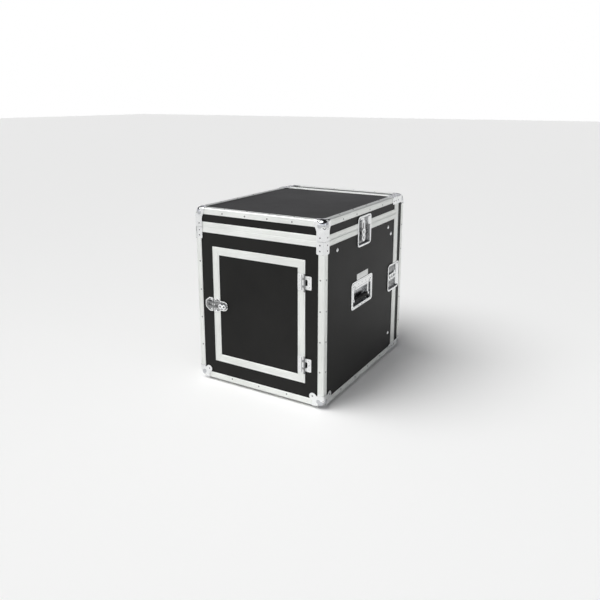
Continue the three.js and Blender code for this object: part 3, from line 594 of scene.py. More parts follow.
def make_rims():
    inward = [(1, 0), (0, 1), (-1, 0)]
    plain, tongue = rim_section(EDGING, []), rim_section(EDGING, TONGUE)
    groove = rim_section(6.0, GROOVE)

    mesh = bmesh.new()
    end = COVER_SEAM - SEAM_GAP
    plan = [(-HALF, end), (-HALF, 0), (HALF, 0), (HALF, end)]
    add_cut_run(mesh, tongue, plan, inward, lid_seam_lift(-1), LID_LATCH_Y, 1)
    piece("body_top_seam_profile", mesh, "case", ALUMINIUM, ["body_top_rim"])

    mesh = bmesh.new()
    plan = [(-HALF, TOP_LEG_END), (-HALF, 0), (HALF, 0), (HALF, TOP_LEG_END)]
    add_cut_run(mesh, tongue, plan, inward, cover_seam_lift(-1), COVER_LATCH_Z, 1)
    low, high = TOP_LEG_END - 12.0, LID_SEAM - SEAM_GAP
    near, far = COVER_SEAM - RIM_LEG, COVER_SEAM - SEAM_GAP
    header = [(near + 1, low), (far - 1, low), (far, low + 1), (far, high - 1), (far - 1, high),
              (near + 1, high), (near, high - 1), (near, high - 6), (near + 1, high - 7),
              (near + 1, low + 7), (near, low + 6), (near, low + 1)]
    reach = HALF - RIM_IN - GAP
    add_sweep(mesh, header, lambda y, z: [Vector((-reach, y, z)), Vector((reach, y, z))])
    piece("body_front_seam_profile", mesh, "case", ALUMINIUM, ["body_front_rim"])

    mesh = bmesh.new()
    plan = [(-HALF, end), (-HALF, 0), (HALF, 0), (HALF, end)]
    add_cut_run(mesh, groove, plan, inward, lid_seam_lift(1), LID_LATCH_Y, 1)
    plan = [(-HALF, LID_LEG_START), (-HALF, HEIGHT), (HALF, HEIGHT), (HALF, LID_LEG_START)]
    add_sweep(mesh, plain, around(plan, [(1, 0), (0, -1), (-1, 0)], cover_seam_lift(-1)))
    piece("lid_seam_profile", mesh, "lid", ALUMINIUM, ["lid_rim"])

    mesh = bmesh.new()
    join = HEIGHT / 2 + POCKET_HALF + 30
    plan = [(-HALF, join), (-HALF, 0), (HALF, 0), (HALF, join)]
    add_cut_run(mesh, groove, plan, inward, cover_seam_lift(1), COVER_LATCH_Z, 1)
    plan = [(-HALF, join), (-HALF, HEIGHT), (HALF, HEIGHT), (HALF, join)]
    add_sweep(mesh, groove, around(plan, [(1, 0), (0, -1), (-1, 0)], cover_seam_lift(1)))
    piece("cover_seam_profile", mesh, "rack_cover", ALUMINIUM, ["cover_rim"])


# ---------------------------------------------------------------- ball corners and braces

BALL_RADIUS = 21.5
BALL_INSET = 19.0  # of the ball's centre, from all three faces
BALL_POWER = 2.4  # a little fuller than a sphere towards the edges
NECK = 11.0  # how much rounder the edges get towards the ball
LEG = 42.0
EAR_RADIUS = 13.5
SKIN_RADIUS = EDGE_RADIUS + PROUD
BRACE_LEG = 30.0
BRACE_LENGTH = 43.0


def smooth_step(low, high, value):
    t = min(max((value - low) / (high - low), 0), 1)
    return t * t * (3 - 2 * t)


def corner_skin(depths):
    """A point of the corner plate's outer skin, from depths inwards along the three axes, and
    whether it is on the ball."""
    reach = max(depths) - BALL_INSET
    ease = NECK * (1 - smooth_step(1, 11, reach))
    skin = Vector([max(d, EDGE_RADIUS + ease) for d in depths])
    out = Vector(depths) - skin
    if out.length > 1e-6:
        skin += out.normalized() * (SKIN_RADIUS + ease)
    centre = Vector((BALL_INSET,) * 3)
    away = skin - centre
    towards = away.normalized()
    fullness = sum(abs(part) ** BALL_POWER for part in towards) ** (1 / BALL_POWER)
    ball = BALL_RADIUS / fullness
    crease = 0.4 * math.exp(-((ball - away.length - 0.25) / 0.4) ** 2)
    return centre + towards * (max(ball, away.length) - crease), ball > away.length


def wrapped(distance):
    """Eases a distance from the corner out over the skin's own thickness."""
    return distance - PROUD * max(0.0, 1 - distance / 12.0)


def add_corner(target, x_side, far, high, outlines, step=1.7):
    """A ball corner: three plates, each an outline on one face from the corner, joined over
    the rounded edges and swelled to a ball."""
    origin = Vector((x_side * HALF, DEPTH if far else 0, HEIGHT if high else 0))
    inward = (-x_side, -1 if far else 1, -1 if high else 1)
    sheet = bmesh.new()
    for normal, outline in enumerate(outlines):
        axes = [axis for axis in range(3) if axis != normal]
        points, triangles = filled([densified(outline, step)], step)
        verts, on_ball = [], []
        for p in points:
            depths = [0, 0, 0]
            depths[axes[0]], depths[axes[1]] = wrapped(p.x), wrapped(p.y)
            depths[normal] = -PROUD
            skin, swelled = corner_skin(depths)
            verts.append(sheet.verts.new([origin[k] + inward[k] * skin[k] for k in range(3)]))
            on_ball.append(swelled)
        for triangle in triangles:
            face = sheet.faces.new([verts[k] for k in triangle])
            face.material_index = int(all(on_ball[k] for k in triangle))
    bmesh.ops.remove_doubles(sheet, verts=sheet.verts, dist=0.05)
    bmesh.ops.recalc_face_normals(sheet, faces=sheet.faces)
    sheet.normal_update()
    middle = origin + Vector(inward) * BALL_INSET
    nearest = min(sheet.faces, key=lambda face: (face.calc_center_median() - origin).length)
    if nearest.normal.dot(nearest.calc_center_median() - middle) < 0:
        bmesh.ops.reverse_faces(sheet, faces=sheet.faces)
    thicken(sheet, PLATE - 0.1)
    add_mesh(target, sheet)


def ear_outline(along, up, leg_a=LEG, leg_b=LEG):
    """Two legs along the edges, with a round ear between them towards (along, up)."""
    angle = math.degrees(math.atan2(up, along))
    slope = up / along
    low = (along + EAR_RADIUS * math.sin(math.radians(angle)),
           up - EAR_RADIUS * math.cos(math.radians(angle)))
    high = (2 * along - low[0], 2 * up - low[1])
    points = [(0, 0), (leg_a, 0), (leg_a, low[1] - (low[0] - leg_a) * slope)]
    points += arc((along, up), EAR_RADIUS, angle - 90, angle + 90, 14)
    points += [(EDGE_LEG, high[1] - (high[0] - EDGE_LEG) * slope), (EDGE_LEG, leg_b), (0, leg_b)]
    return points


def leg_outline(leg_a, leg_b, wide_a=EDGE_LEG, wide_b=EDGE_LEG, hollow=9.0):
    """Two legs along the edges, joined by a hollow curve: leg a is wide_a across, and so on."""
    corners = [(0, 0, 0), (leg_a, 0, 0), (leg_a, wide_a, 2.5), (wide_b, wide_a, hollow),
               (wide_b, leg_b, 2.5), (0, leg_b, 0)]
    return rounded(corners)


def flared_outline(flare, wide, drop):
    """A plate down the whole lid, flared to the top edge by a hollow curve."""
    steps = 12
    top, bottom = 13.0, 40.0
    points = [(0, 0), (flare, 0)]
    for k in range(steps + 1):
        v = top + (bottom - top) * k / steps
        points.append((flare - (flare - wide) * smooth_step(0, 1, k / steps) ** 0.8, v))
    return points + [(wide, drop), (0, drop)]


def make_corners():
    lid_drop = HEIGHT - LID_SEAM - SEAM_GAP
    run = DEPTH - COVER_SEAM - SEAM_GAP
    flare = 40.0
    for side, sign in SIDES.items():
        ears = [ear_outline(41, 34), ear_outline(41, 34), ear_outline(41, 41)]
        mesh = bmesh.new()
        add_corner(mesh, sign, False, False, ears)
        piece(f"body_ball_corner_plate_{side}", mesh, "case", [CHROME, POLISHED_ZINC],
              [f"body_ball_corner_{side}"])
        mesh = bmesh.new()
        drop = flared_outline(flare, 30.0, lid_drop)
        add_corner(mesh, sign, False, True, [drop, drop, leg_outline(flare, flare, 21, 21, 17)])
        piece(f"lid_ball_corner_plate_{side}", mesh, "lid", [CHROME, POLISHED_ZINC])
        for place, high in (("lower", False), ("upper", True)):
            mesh = bmesh.new()
            add_corner(mesh, sign, True, high, [
                leg_outline(run, LEG, 30.0, EDGE_LEG),
                leg_outline(LEG, LEG),
                leg_outline(LEG, run, EDGE_LEG, 30.0),
            ])
            piece(f"cover_ball_corner_plate_{place}_{side}", mesh, "rack_cover",
                  [CHROME, POLISHED_ZINC])


def make_lid_bosses():
    """A half-round pressing under each of the lid's balls, on both of its faces."""
    outline = arc((0, 0), 10.5, 180, 360, 14)
    outline = [(u, v * 0.85) for u, v in outline] + [(8.5, 1.8), (-8.5, 1.8)]
    drop = 31.0
    for side, sign in SIDES.items():
        mesh = bmesh.new()
        places = [face_place("door", PROUD, x=sign * (HALF - 20.5), z=HEIGHT - drop),
                  face_place(side, PROUD, y=20.5, z=HEIGHT - drop)]
        for place in places:
            add_plate(mesh, [densified(outline, 1.5)], -0.3, 0.15, place, 1.5,
                      lambda u, v: 0.8 * smooth_step(0, 3.2, 9.2 - math.hypot(u, v / 0.85)))
        piece(f"lid_corner_pressings_{side}", mesh, "lid", CHROME)


def add_brace(target, face_a, face_b, start, end):
    """A plate bent over an edge from the seam at start, with its far corners rounded."""
    quarter = math.pi / 2 * SKIN_RADIUS
    reach = BRACE_LEG - EDGE_RADIUS + quarter / 2
    length = abs(end - start)
    outline = rounded([(-reach, 0, 1.5), (reach, 0, 1.5), (reach, length, 6), (-reach, length, 6)])

    def surface(u, v):
        flat = abs(u) - quarter / 2
        if flat > 0:
            depths = (-PROUD, EDGE_RADIUS + flat)
            a, b = depths if u > 0 else reversed(depths)
        else:
            turn = math.pi / 2 - (u + quarter / 2) / SKIN_RADIUS
            a = EDGE_RADIUS - SKIN_RADIUS * math.sin(turn)
            b = EDGE_RADIUS - SKIN_RADIUS * math.cos(turn)
        return edge_point(face_a, face_b, a, b, start + (end - start) * v / length)
    step = 2.5
    sheet = open_sheet([densified(outline, step)], surface, step)
    sheet.normal_update()
    outward = Vector((0, 0, 0))
    for face in (face_a, face_b):
        outward[FACES[face][0]] = -FACES[face][2]
    if sum(face.normal.dot(outward) for face in sheet.faces) < 0:
        bmesh.ops.reverse_faces(sheet, faces=sheet.faces)
    thicken(sheet, PLATE)
    add_mesh(target, sheet)


def make_braces():
    lid_end, cover_end = LID_SEAM - SEAM_GAP, COVER_SEAM - SEAM_GAP
    for side in SIDES:
        mesh = bmesh.new()
        add_brace(mesh, side, "door", lid_end, lid_end - BRACE_LENGTH)
        add_brace(mesh, side, "bottom", cover_end, cover_end - BRACE_LENGTH)
        piece(f"body_corner_braces_{side}", mesh, "case", CHROME)
        mesh = bmesh.new()
        add_brace(mesh, side, "top", cover_end, cover_end - BRACE_LENGTH)
        piece(f"lid_corner_brace_{side}", mesh, "lid", CHROME)


# ---------------------------------------------------------------- rivets

RIVET = [(0, 1.0), (1.3, 0.92), (2.3, 0.62), (2.9, 0.2), (3.0, -0.4), (0, -0.4)]
SMALL_RIVET = [(0, 0.7), (1.0, 0.62), (1.8, 0.3), (2.1, -0.3), (0, -0.3)]
INSET = 15.0  # of a profile's rivets from the edge
PLATE_INSET = 17.0  # of the plate rivets beside a seam
LATCH_ROOM = 70.0  # the cover's side rivets keep this far from a latch's middle


def face_place(face, height, **at):
    """The frame of a fixing on a face, at the two other coordinates, a height above it."""
    axis, where, inward = FACES[face]
    place = Vector((at.get("x", 0), at.get("y", 0), at.get("z", 0)))
    place[axis] = where - inward * height
    w = Vector((0, 0, 0))
    w[axis] = -inward
    v = Vector((0, 0, 1)) if axis != 2 else Vector((0, 1, 0))
    return face_frame(place, v, w)


def rivets(name, body, places):
    mesh = bmesh.new()
    for place in places:
        add_lathe(mesh, RIVET, place, 14)
    piece(name, mesh, body, RIVET_STEEL)


def make_profile_rivets():
    """Rivets through both legs of each edge profile."""
    body, lid, cover = [], [], []
    for side, sign in SIDES.items():
        leg_x = sign * (HALF - INSET)
        for z in (127, 234.5, 342, 450):
            body += [face_place("door", 0, x=leg_x, z=z), face_place(side, 0, y=INSET, z=z)]
        for y in (132, 248, 361, 478):
            body += [face_place(side, 0, y=y, z=INSET), face_place("bottom", 0, x=leg_x, y=y)]
        for y in (132, 236, 346, 461):
            lid += [face_place(side, 0, y=y, z=HEIGHT - INSET), face_place("top", 0, x=leg_x, y=y)]
        for z in (109, 212, 316, 421, 523):
            cover.append(face_place("far", 0, x=leg_x, z=z))
            if abs(z - COVER_LATCH_Z) > LATCH_ROOM:
                cover.append(face_place(side, 0, y=DEPTH - INSET + 3, z=z))
    for x in (-144.5, -48, 44, 142):
        lid += [face_place("door", 0, x=x, z=HEIGHT - INSET), face_place("top", 0, x=x, y=INSET)]
        for face, z in (("bottom", INSET), ("top", HEIGHT - INSET)):
            cover += [face_place("far", 0, x=x, z=z), face_place(face, 0, x=x, y=DEPTH - INSET)]
    for x in (-118, 0, 118):
        body += [face_place("door", 0, x=x, z=INSET), face_place("bottom", 0, x=x, y=INSET)]
    rivets("body_profile_rivets", "case", body)
    rivets("lid_profile_rivets", "lid", lid)
    rivets("cover_profile_rivets", "rack_cover", cover)


def make_plate_rivets():
    """Rivets through the braces and the ball corners' plates."""
    body, lid, cover = [], [], []
    inset, ear = PLATE_INSET, 35.0
    for side, sign in SIDES.items():
        leg_x = sign * (HALF - inset)
        for along in (12, 31):
            z, y = LID_SEAM - along, COVER_SEAM - along
            body += [
                face_place("door", PROUD, x=leg_x, z=z), face_place(side, PROUD, y=inset, z=z),
                face_place("bottom", PROUD, x=leg_x, y=y), face_place(side, PROUD, y=y, z=inset),
            ]
            lid += [face_place("top", PROUD, x=leg_x, y=y),
                    face_place(side, PROUD, y=y, z=HEIGHT - inset)]
        beside_lid, beside_cover = LID_SEAM + 13, COVER_SEAM + 13
        lid += [face_place("door", PROUD, x=leg_x, z=beside_lid),
                face_place(side, PROUD, y=inset, z=beside_lid)]
        body += [
            face_place("door", PROUD, x=sign * (HALF - 42), z=ear),
            face_place(side, PROUD, y=42, z=ear),
            face_place("bottom", PROUD, x=sign * (HALF - 41), y=41),
        ]
        for face, edge, up in (("bottom", 0, 1), ("top", HEIGHT, -1)):
            cover += [
                face_place(side, PROUD, y=beside_cover, z=edge + up * inset),
                face_place(side, PROUD, y=DEPTH - 12, z=edge + up * ear),
                face_place("far", PROUD, x=sign * (HALF - ear), z=edge + up * 12),
                face_place(face, PROUD, x=leg_x, y=beside_cover),
            ]
    rivets("case_plate_rivets", "case", body)
    rivets("lid_plate_rivets", "lid", lid)
    rivets("rack_cover_plate_rivets", "rack_cover", cover)


# ---------------------------------------------------------------- recessed latches

FLOOR = -9.8  # of the dish, below the side's face


def latch_loop(half, radius, w, matrix):
    middle = (LATCH_CATCH - LATCH_BODY) / 2
    outline = rounded_rect(-half, half, middle - half, middle + half, radius, 6)
    return [matrix @ Vector((u, v, w)) for u, v in outline]


def latch_pan(matrix):
    """The whole pressed dish, flange, rolled lip and floor, before it is cut at the seam."""
    loops = [
        (46.3, 5.5, FLOOR), (47.3, 6.3, -9.4), (47.8, 6.8, -8.4), (48.3, 7.2, -0.5), (48.9, 7.8, 0.7),
        (49.9, 8.6, 1.35), (51.2, 9.8, 1.5), (54.8, 13.0, 1.5), (55.7, 13.8, 1.25), (56.0, 14.0, 0.8),
        (56.0, 14.0, GAP), (49.2, 7.9, GAP), (49.1, 7.8, -10.2), (48.2, 7.0, -11.0),
    ]
    mesh = bmesh.new()
    add_loft(mesh, [latch_loop(half, radius, w, matrix) for half, radius, w in loops])
    return mesh


def wing_outline(radius, lobe):
    """Two round lobes with a waist between them, as far out as the radius."""
    waist = 50
    top = arc((0, radius - lobe), lobe, -waist, 180 + waist, 16)
    low = arc((0, lobe - radius), lobe, 180 - waist, 360 + waist, 16)
    return top + low


def add_wing(mesh, matrix, radius, lobe, low, high, hub_radius, base):
    """The butterfly wing: two pressed lobes, each with an eye, on a round hub."""
    eye = lobe * 0.42
    holes = [arc((0, s * (radius - lobe) * 1.04), eye, 0, 360, 14)[:-1] for s in (-1, 1)]
    crest = high - low

    def lift(u, v):
        centre = math.copysign(radius - lobe, v)
        rim = math.hypot(u, v - centre)
        bead = math.exp(-((rim - 0.72 * lobe) / (0.16 * lobe)) ** 2)
        return -0.45 * crest * (1 - bead)
    outline = densified(wing_outline(radius, lobe), 1.6)
    add_plate(mesh, [outline, *holes], high - 0.5 * crest, high, matrix, 1.6, lift)
    hub = [(0, high), (hub_radius * 0.55, high), (hub_radius * 0.7, high - 0.35), (hub_radius, low),
           (hub_radius, base), (0, base)]
    add_lathe(mesh, hub, matrix, 18)


def add_hook(mesh, matrix, half, back, tip, low, high, tip_low, hub, slot_radius, travel):
    """The draw hook: a slotted plate with raised sides and a turned-down tip."""
    outline = rounded([(-half, back, 6), (half, back, 6), (half, tip - 8, 2), (half - 3, tip, 2),
                       (3 - half, tip, 2), (-half, tip - 8, 2)])
    slot = arc((0, hub), slot_radius, 0, 180, 8) + arc((0, hub - travel), slot_radius, 180, 360, 8)
    window = rounded_rect(-half * 0.42, half * 0.42, hub + slot_radius + 5, tip - 9, 2.5)
    add_plate(mesh, [outline, slot, window], low, high, matrix)
    for side in (-1, 1):
        rail, rail_half = side * (half - 0.6), 0.6
        strip = rounded_rect(rail - rail_half, rail + rail_half, back + 6, tip - 9, 0.5, 2)
        add_plate(mesh, [strip], high - 0.1, high + 0.55, matrix)
    lip = rounded_rect(4 - half, half - 4, tip - 2.8, tip - 0.2, 0.8, 2)
    add_plate(mesh, [lip], tip_low, low + 0.1, matrix)


LATCH_HUB = -31.0  # v of the wing's axis
LATCH_TRAVEL = 6.0
RIVET_EDGE = 3.2  # of the flange's rivets from its edge


def add_flange_rivets(mesh, matrix, places):
    for u, v in places:
        add_lathe(mesh, SMALL_RIVET, matrix @ shift(u, v, PROUD), 12)


def make_latch_dish(name, side, matrix):
    """The body's half of the dish, with a seat for the wing and two pressed ribs. Its faces inside the
    dish take a darker zinc as painted shade.
    """
    dish = latch_pan(matrix)
    cut_away(dish, matrix, -SEAM_GAP, -1)
    beside = LATCH_HALF - RIVET_EDGE
    add_flange_rivets(dish, matrix, [(u, RIVET_EDGE - LATCH_BODY) for u in (-38, 0, 38)]
                      + [(u, v) for u in (-beside, beside) for v in (-54, -12)])
    seat = [(0, FLOOR - 0.25), (13, FLOOR - 0.2), (11.5, FLOOR + 0.15), (0, FLOOR + 0.2)]
    add_lathe(dish, seat, matrix @ shift(0, LATCH_HUB), 24)
    for middle in (-30, 30):
        rib = rounded_rect(middle - 5, middle + 5, -60, -14, 4.5)
        add_plate(dish, [densified(rib, 2.5)], FLOOR - 0.2, FLOOR + 0.9, matrix)
    # Faces inside the dish take the darker zinc: painted shade
    shade_recess(dish, matrix, -0.4)
    piece(f"{name}_latch_pan_{side}", dish, "case", [CHROME, PAINTED_SHADE_ZINC],
          [f"{name}_latch_dish_{side}"])


def make_latch_catch(name, side, matrix):
    """The lid's or cover's half, with the strike that the hook's tip grips. Its floor takes a darker
    zinc as painted shade.
    """
    catch = latch_pan(matrix)
    cut_away(catch, matrix, SEAM_GAP, 1)
    add_flange_rivets(catch, matrix, [(u, LATCH_CATCH - RIVET_EDGE) for u in (-38, 0, 38)])
    add_plate(catch, [rounded_rect(-16, 16, 13.5, 30, 4)], FLOOR - 0.2, FLOOR + 1.0, matrix)
    add_plate(catch, [rounded_rect(-10, 10, 14, 18, 1.2, 3)], FLOOR, -7.6, matrix)
    # The catch's floor takes the darker zinc: painted shade
    shade_recess(catch, matrix, -9.3)
    body = {"lid": "lid", "cover": "rack_cover"}[name]
    piece(f"{name}_latch_catch_pan_{side}", catch, body, [CHROME, PAINTED_SHADE_ZINC],
          [f"{name}_latch_catch_{side}"])


def make_latches():
    for (name, side), matrix in LATCH_FRAMES.items():
        make_latch_dish(name, side, matrix)
        make_latch_catch(name, side, matrix)
        hook = bmesh.new()
        add_hook(hook, matrix, half=12, back=LATCH_HUB - 15, tip=22, low=-6.2, high=-4.6,
                 tip_low=-7.2, hub=LATCH_HUB, slot_radius=6.1, travel=LATCH_TRAVEL)
        piece(f"{name}_latch_draw_hook_{side}", hook, f"{name}_latch_hook_{side}", CHROME,
              [f"{name}_latch_hook_{side}"])
        wing = bmesh.new()
        add_wing(wing, matrix @ shift(0, LATCH_HUB), radius=24, lobe=13.5, low=-3.4, high=-1.4,
                 hub_radius=5.5, base=FLOOR + GAP)
        piece(f"{name}_latch_butterfly_{side}", wing, f"{name}_latch_wing_{side}", CHROME,
              [f"{name}_latch_wing_{side}"])


# ---------------------------------------------------------------- recessed handles

FLANGE_U, FLANGE_V = 89.0, 51.5
TRAY_U, TRAY_V = 75.0, 41.0
PLATE_EDGE = 19.5  # v of the pivot plate's lower edge
SLOT_NEAR, SLOT_FAR, SLOT_TOP = 57.5, 66.5, 36.0  # the slots in it that the bail's arms swing through
PIVOT_V, PIVOT_W, GRIP_V = 28.0, -7.0, -22.0
ARM = 62.0  # u of the bail's arms
GRIP_HALF = 53.0


def handle_mouth():
    """The opening of the tray, with a slot for each of the bail's arms."""
    mouth = [(-TRAY_U, -TRAY_V, 6), (TRAY_U, -TRAY_V, 6), (TRAY_U, PLATE_EDGE, 3)]
    for near, far in ((SLOT_FAR, SLOT_NEAR), (-SLOT_NEAR, -SLOT_FAR)):
        mouth += [(near, PLATE_EDGE, 0.8), (near, SLOT_TOP, 3.5), (far, SLOT_TOP, 3.5),
                  (far, PLATE_EDGE, 0.8)]
    return rounded(mouth + [(-TRAY_U, PLATE_EDGE, 3)])


def make_handle_pan(side, matrix):
    def loop(u, v, radius, w):
        return [matrix @ Vector((p, q, w)) for p, q in rounded_rect(-u, u, -v, v, radius, 6)]
    dish = bmesh.new()
    add_loft(dish, [
        loop(73.5, 39.5, 4, -18.8), loop(74.4, 40.4, 5, -18.2), loop(74.8, 40.8, 5.5, -16.8),
        loop(TRAY_U, TRAY_V, 6, -1.5), loop(76.0, 42.0, 7, -1.5), loop(76.0, 42.0, 7, -20.0),
    ])
    # The tray's faces below the flange take the darker zinc: painted shade inside the tray
    shade_recess(dish, matrix, -1.0)
    flange = rounded_rect(-FLANGE_U, FLANGE_U, -FLANGE_V, FLANGE_V, 12, 8)
    add_plate(dish, [flange, handle_mouth()], -1.7, 0, matrix)
    bead = rounded_rect(-80.5, 80.5, -46.5, 46.5, 9, 8)
    inner_bead = rounded_rect(-78.5, 78.5, -44.5, 44.5, 8, 8)
    add_plate(dish, [bead, inner_bead], -0.2, 0.7, matrix)
    cup = [(0, 2.3), (2.0, 2.2), (3.6, 1.5), (4.2, 0.5), (4.3, -0.2), (0, -0.2)]
    for u in (-1, 1):
        for v in (-48.5, 48.5):
            add_lathe(dish, SMALL_RIVET, matrix @ shift(u * 83, v, 0), 12)
        add_lathe(dish, cup, matrix @ shift(u * 72, 31.5, 0), 20)
    for u in (-30, 0, 30):
        add_lathe(dish, RIVET, matrix @ shift(u, 36, 0), 12)
    add_plate(dish, [rounded_rect(-50, 50, 23.5, 26.5, 1.4)], -0.2, 0.8, matrix)
    piece(f"handle_pan_{side}", dish, "case", [CHROME, PAINTED_TRAY_SHADE],
          [f"handle_dish_{side}"], bevel=0.3)

    slots = bmesh.new()
    ovals = [rounded_rect(u - 7, u + 7, -48.6, -45.0, 1.7) for u in (-28, 0, 28)]
    add_plates(slots, ovals, -0.3, 0.06, matrix)
    piece(f"handle_drain_slots_{side}", slots, "case", RUBBER)


def make_handle_bail(side, matrix):
    bail = bmesh.new()
    bend = 9.0
    path = [(-ARM, PIVOT_V)]
    path += arc((bend - ARM, GRIP_V + bend), bend, 180, 270, 8)
    path += arc((ARM - bend, GRIP_V + bend), bend, 270, 360, 8)
    path += [(ARM, PIVOT_V)]
    add_tube(bail, [matrix @ Vector((u, v, PIVOT_W)) for u, v in path], 3.6, 14)
    ferrule = [(0, 6.2), (3.4, 5.9), (5.8, 4.2), (6.6, 1.5), (6.6, -3.0), (0, -3.0)]
    eye = [(0, 3.2), (4.4, 3.2), (5.2, 2.4), (5.2, -2.4), (4.4, -3.2), (0, -3.2)]
    along_u = Matrix.Rotation(math.pi / 2, 4, "Y")
    for u in (-ARM, ARM):
        add_lathe(bail, ferrule, matrix @ shift(u, GRIP_V, PIVOT_W), 20)
        add_lathe(bail, eye, matrix @ shift(u, PIVOT_V, PIVOT_W) @ along_u, 18)
    add_tube(bail, [matrix @ Vector((u, PIVOT_V, PIVOT_W)) for u in (-ARM, ARM)], 3.0, 14)
    piece(f"handle_bail_rod_{side}", bail, f"handle_{side}", CHROME,
          [f"handle_bail_{side}"])

    grip = bmesh.new()
    ribs, high, low = 14, 8.0, 7.2
    pitch = (2 * GRIP_HALF - 12) / ribs
    profile = [(0, -GRIP_HALF), (5.6, -GRIP_HALF), (7.4, 1.4 - GRIP_HALF)]
    for k in range(ribs):
        start = 6 - GRIP_HALF + k * pitch
        profile += [(high, start), (high, start + pitch * 0.62), (low, start + pitch * 0.74),
                    (low, start + pitch * 0.92)]
    profile += [(high, GRIP_HALF - 6), (7.4, GRIP_HALF - 1.4), (5.6, GRIP_HALF), (0, GRIP_HALF)]
    add_lathe(grip, profile, matrix @ shift(0, GRIP_V, PIVOT_W) @ along_u, 28)
    piece(f"handle_ribbed_grip_{side}", grip, f"handle_{side}", RUBBER,
          [f"handle_grip_{side}"])


def make_handles():
    for side in SIDES:
        matrix = side_frame(side, HANDLE_Y, HANDLE_Z)
        make_handle_pan(side, matrix)
        make_handle_bail(side, matrix)


# ---------------------------------------------------------------- service door

DOOR_LOW, DOOR_HIGH = limits("door_frame")
DOOR_FRAME = 28.5  # width of the profile round the door
HINGE_X = limits("hinge_pin_upper")[0].x + 3.0
HINGE_Y = -4.2
SCREW = [(0, 0.25), (0.9, 0.25), (1.0, 0.75), (2.4, 0.55), (3.4, -0.1), (3.4, -0.5), (0, -0.5)]


def make_door_frame():
    """Four mitred bars with a bead along both edges."""
    bead = [(0.0, 0.5), (0.5, 0.0), (4.6, 0.0), (5.0, 0.95), (6.6, 0.95), (7.0, 0.15),
            (21.5, 0.15), (21.9, 0.95), (23.5, 0.95), (23.9, 0.0), (28.0, 0.0), (DOOR_FRAME, 0.5)]
    section = bead + [(DOOR_FRAME, EDGING), (1.5, EDGING), (1.5, 11.0), (0.0, 11.0)]
    mitre_gap = 0.12
    corners = [Vector((DOOR_LOW.x, DOOR_LOW.z)), Vector((DOOR_HIGH.x, DOOR_LOW.z)),
               Vector((DOOR_HIGH.x, DOOR_HIGH.z)), Vector((DOOR_LOW.x, DOOR_HIGH.z))]
    mesh = bmesh.new()
    for k, start in enumerate(corners):
        end = corners[(k + 1) % 4]
        along = (end - start).normalized()
        inward = Vector((-along.y, along.x))

        def stations(inset, depth, start=start, end=end, along=along, inward=inward):
            ends = [start + (inward + along) * inset + along * mitre_gap,
                    end + (inward - along) * inset - along * mitre_gap]
            return [Vector((p.x, depth, p.y)) for p in ends]
        add_sweep(mesh, section, stations)
    piece("door_frame_profile", mesh, "service_door", ALUMINIUM, ["door_frame"])


KNUCKLE_SPLIT, KNUCKLE_END = 10.3, 30.0  # the wall leaf's two knuckles lie between them


def add_knuckle(mesh, matrix, low, high):
    profile = [(0, low), (3.2, low), (3.6, low + 0.4), (3.6, high - 0.4), (3.2, high), (0, high)]
    add_lathe(mesh, profile, matrix, 20)


def make_door_leaf(place, front, upright):
    """The strap on the door's profile, with two ribs and a darker strip by the knuckle."""
    leaf = bmesh.new()
    holes = [arc((-20, v), 1.2, 0, 360, 10)[:-1] for v in (-10, 10)]
    add_plate(leaf, [rounded_rect(-28, -4.8, -29, 29, 2.2), *holes], 0.3, 1.8, front)
    add_plate(leaf, [rounded_rect(-9, 0, -9.4, 9.4, 0.3, 1)], 1.7, 3.2, front)
    for v in (-21, 0, 21):
        add_lathe(leaf, SCREW, front @ shift(-22, v, 1.8), 16)
    pads = [rounded_rect(-9, -4.0, v - 5.6, v + 5.6, 0.3, 1) for v in (-23, 23)]
    add_plates(leaf, pads, 1.7, 2.4, front)
    plain = len(leaf.faces)
    ribs = [rounded_rect(u - 0.7, u + 0.7, -27, 27, 0.6, 2) for u in (-12.6, -9.4)]
    add_plates(leaf, ribs, 1.6, 2.3, front)
    add_knuckle(leaf, upright, -9.6, 9.6)
    add_plate(leaf, [rounded_rect(-8.4, -3.4, -29, 29, 0.4, 1)], 1.7, 2.0, front)
    darken_from(leaf, plain)
    piece(f"hinge_door_leaf_plate_{place}", leaf, "service_door", [CHROME, RIVET_STEEL],
          [f"hinge_door_leaf_{place}"])


def make_wall_leaf(place, front, upright):
    """The C-shaped leaf on the wall, with a riser to each of its knuckles."""
    wall = bmesh.new()
    knuckles = ((-KNUCKLE_END, -KNUCKLE_SPLIT), (KNUCKLE_SPLIT, KNUCKLE_END))
    for low, high in knuckles:
        add_knuckle(wall, upright, low, high)
    darken_from(wall, 0)
    half, split = 23.5, KNUCKLE_SPLIT
    outline = rounded([(2.0, -half, 0.5), (24.0, -half, 4), (24.0, half, 4), (2.0, half, 0.5),
                       (2.0, split, 0.5), (9.0, split, 3), (9.0, -split, 3), (2.0, -split, 0.5)])
    add_plate(wall, [outline], -1.7, -0.2, front)
    for low, high in knuckles:
        riser = rounded_rect(1.9, 3.5, max(low, 0.1 - half), min(high, half - 0.1), 0.3, 1)
        add_plate(wall, [riser], -1.6, 4.2, front)
    for u, v in ((16, -16.5), (16.5, 0), (16, 16.5)):
        add_lathe(wall, SCREW, front @ shift(u, v, -0.2), 16)
    piece(f"hinge_wall_leaf_plate_{place}", wall, "case", [CHROME, RIVET_STEEL],
          [f"hinge_wall_leaf_{place}"])


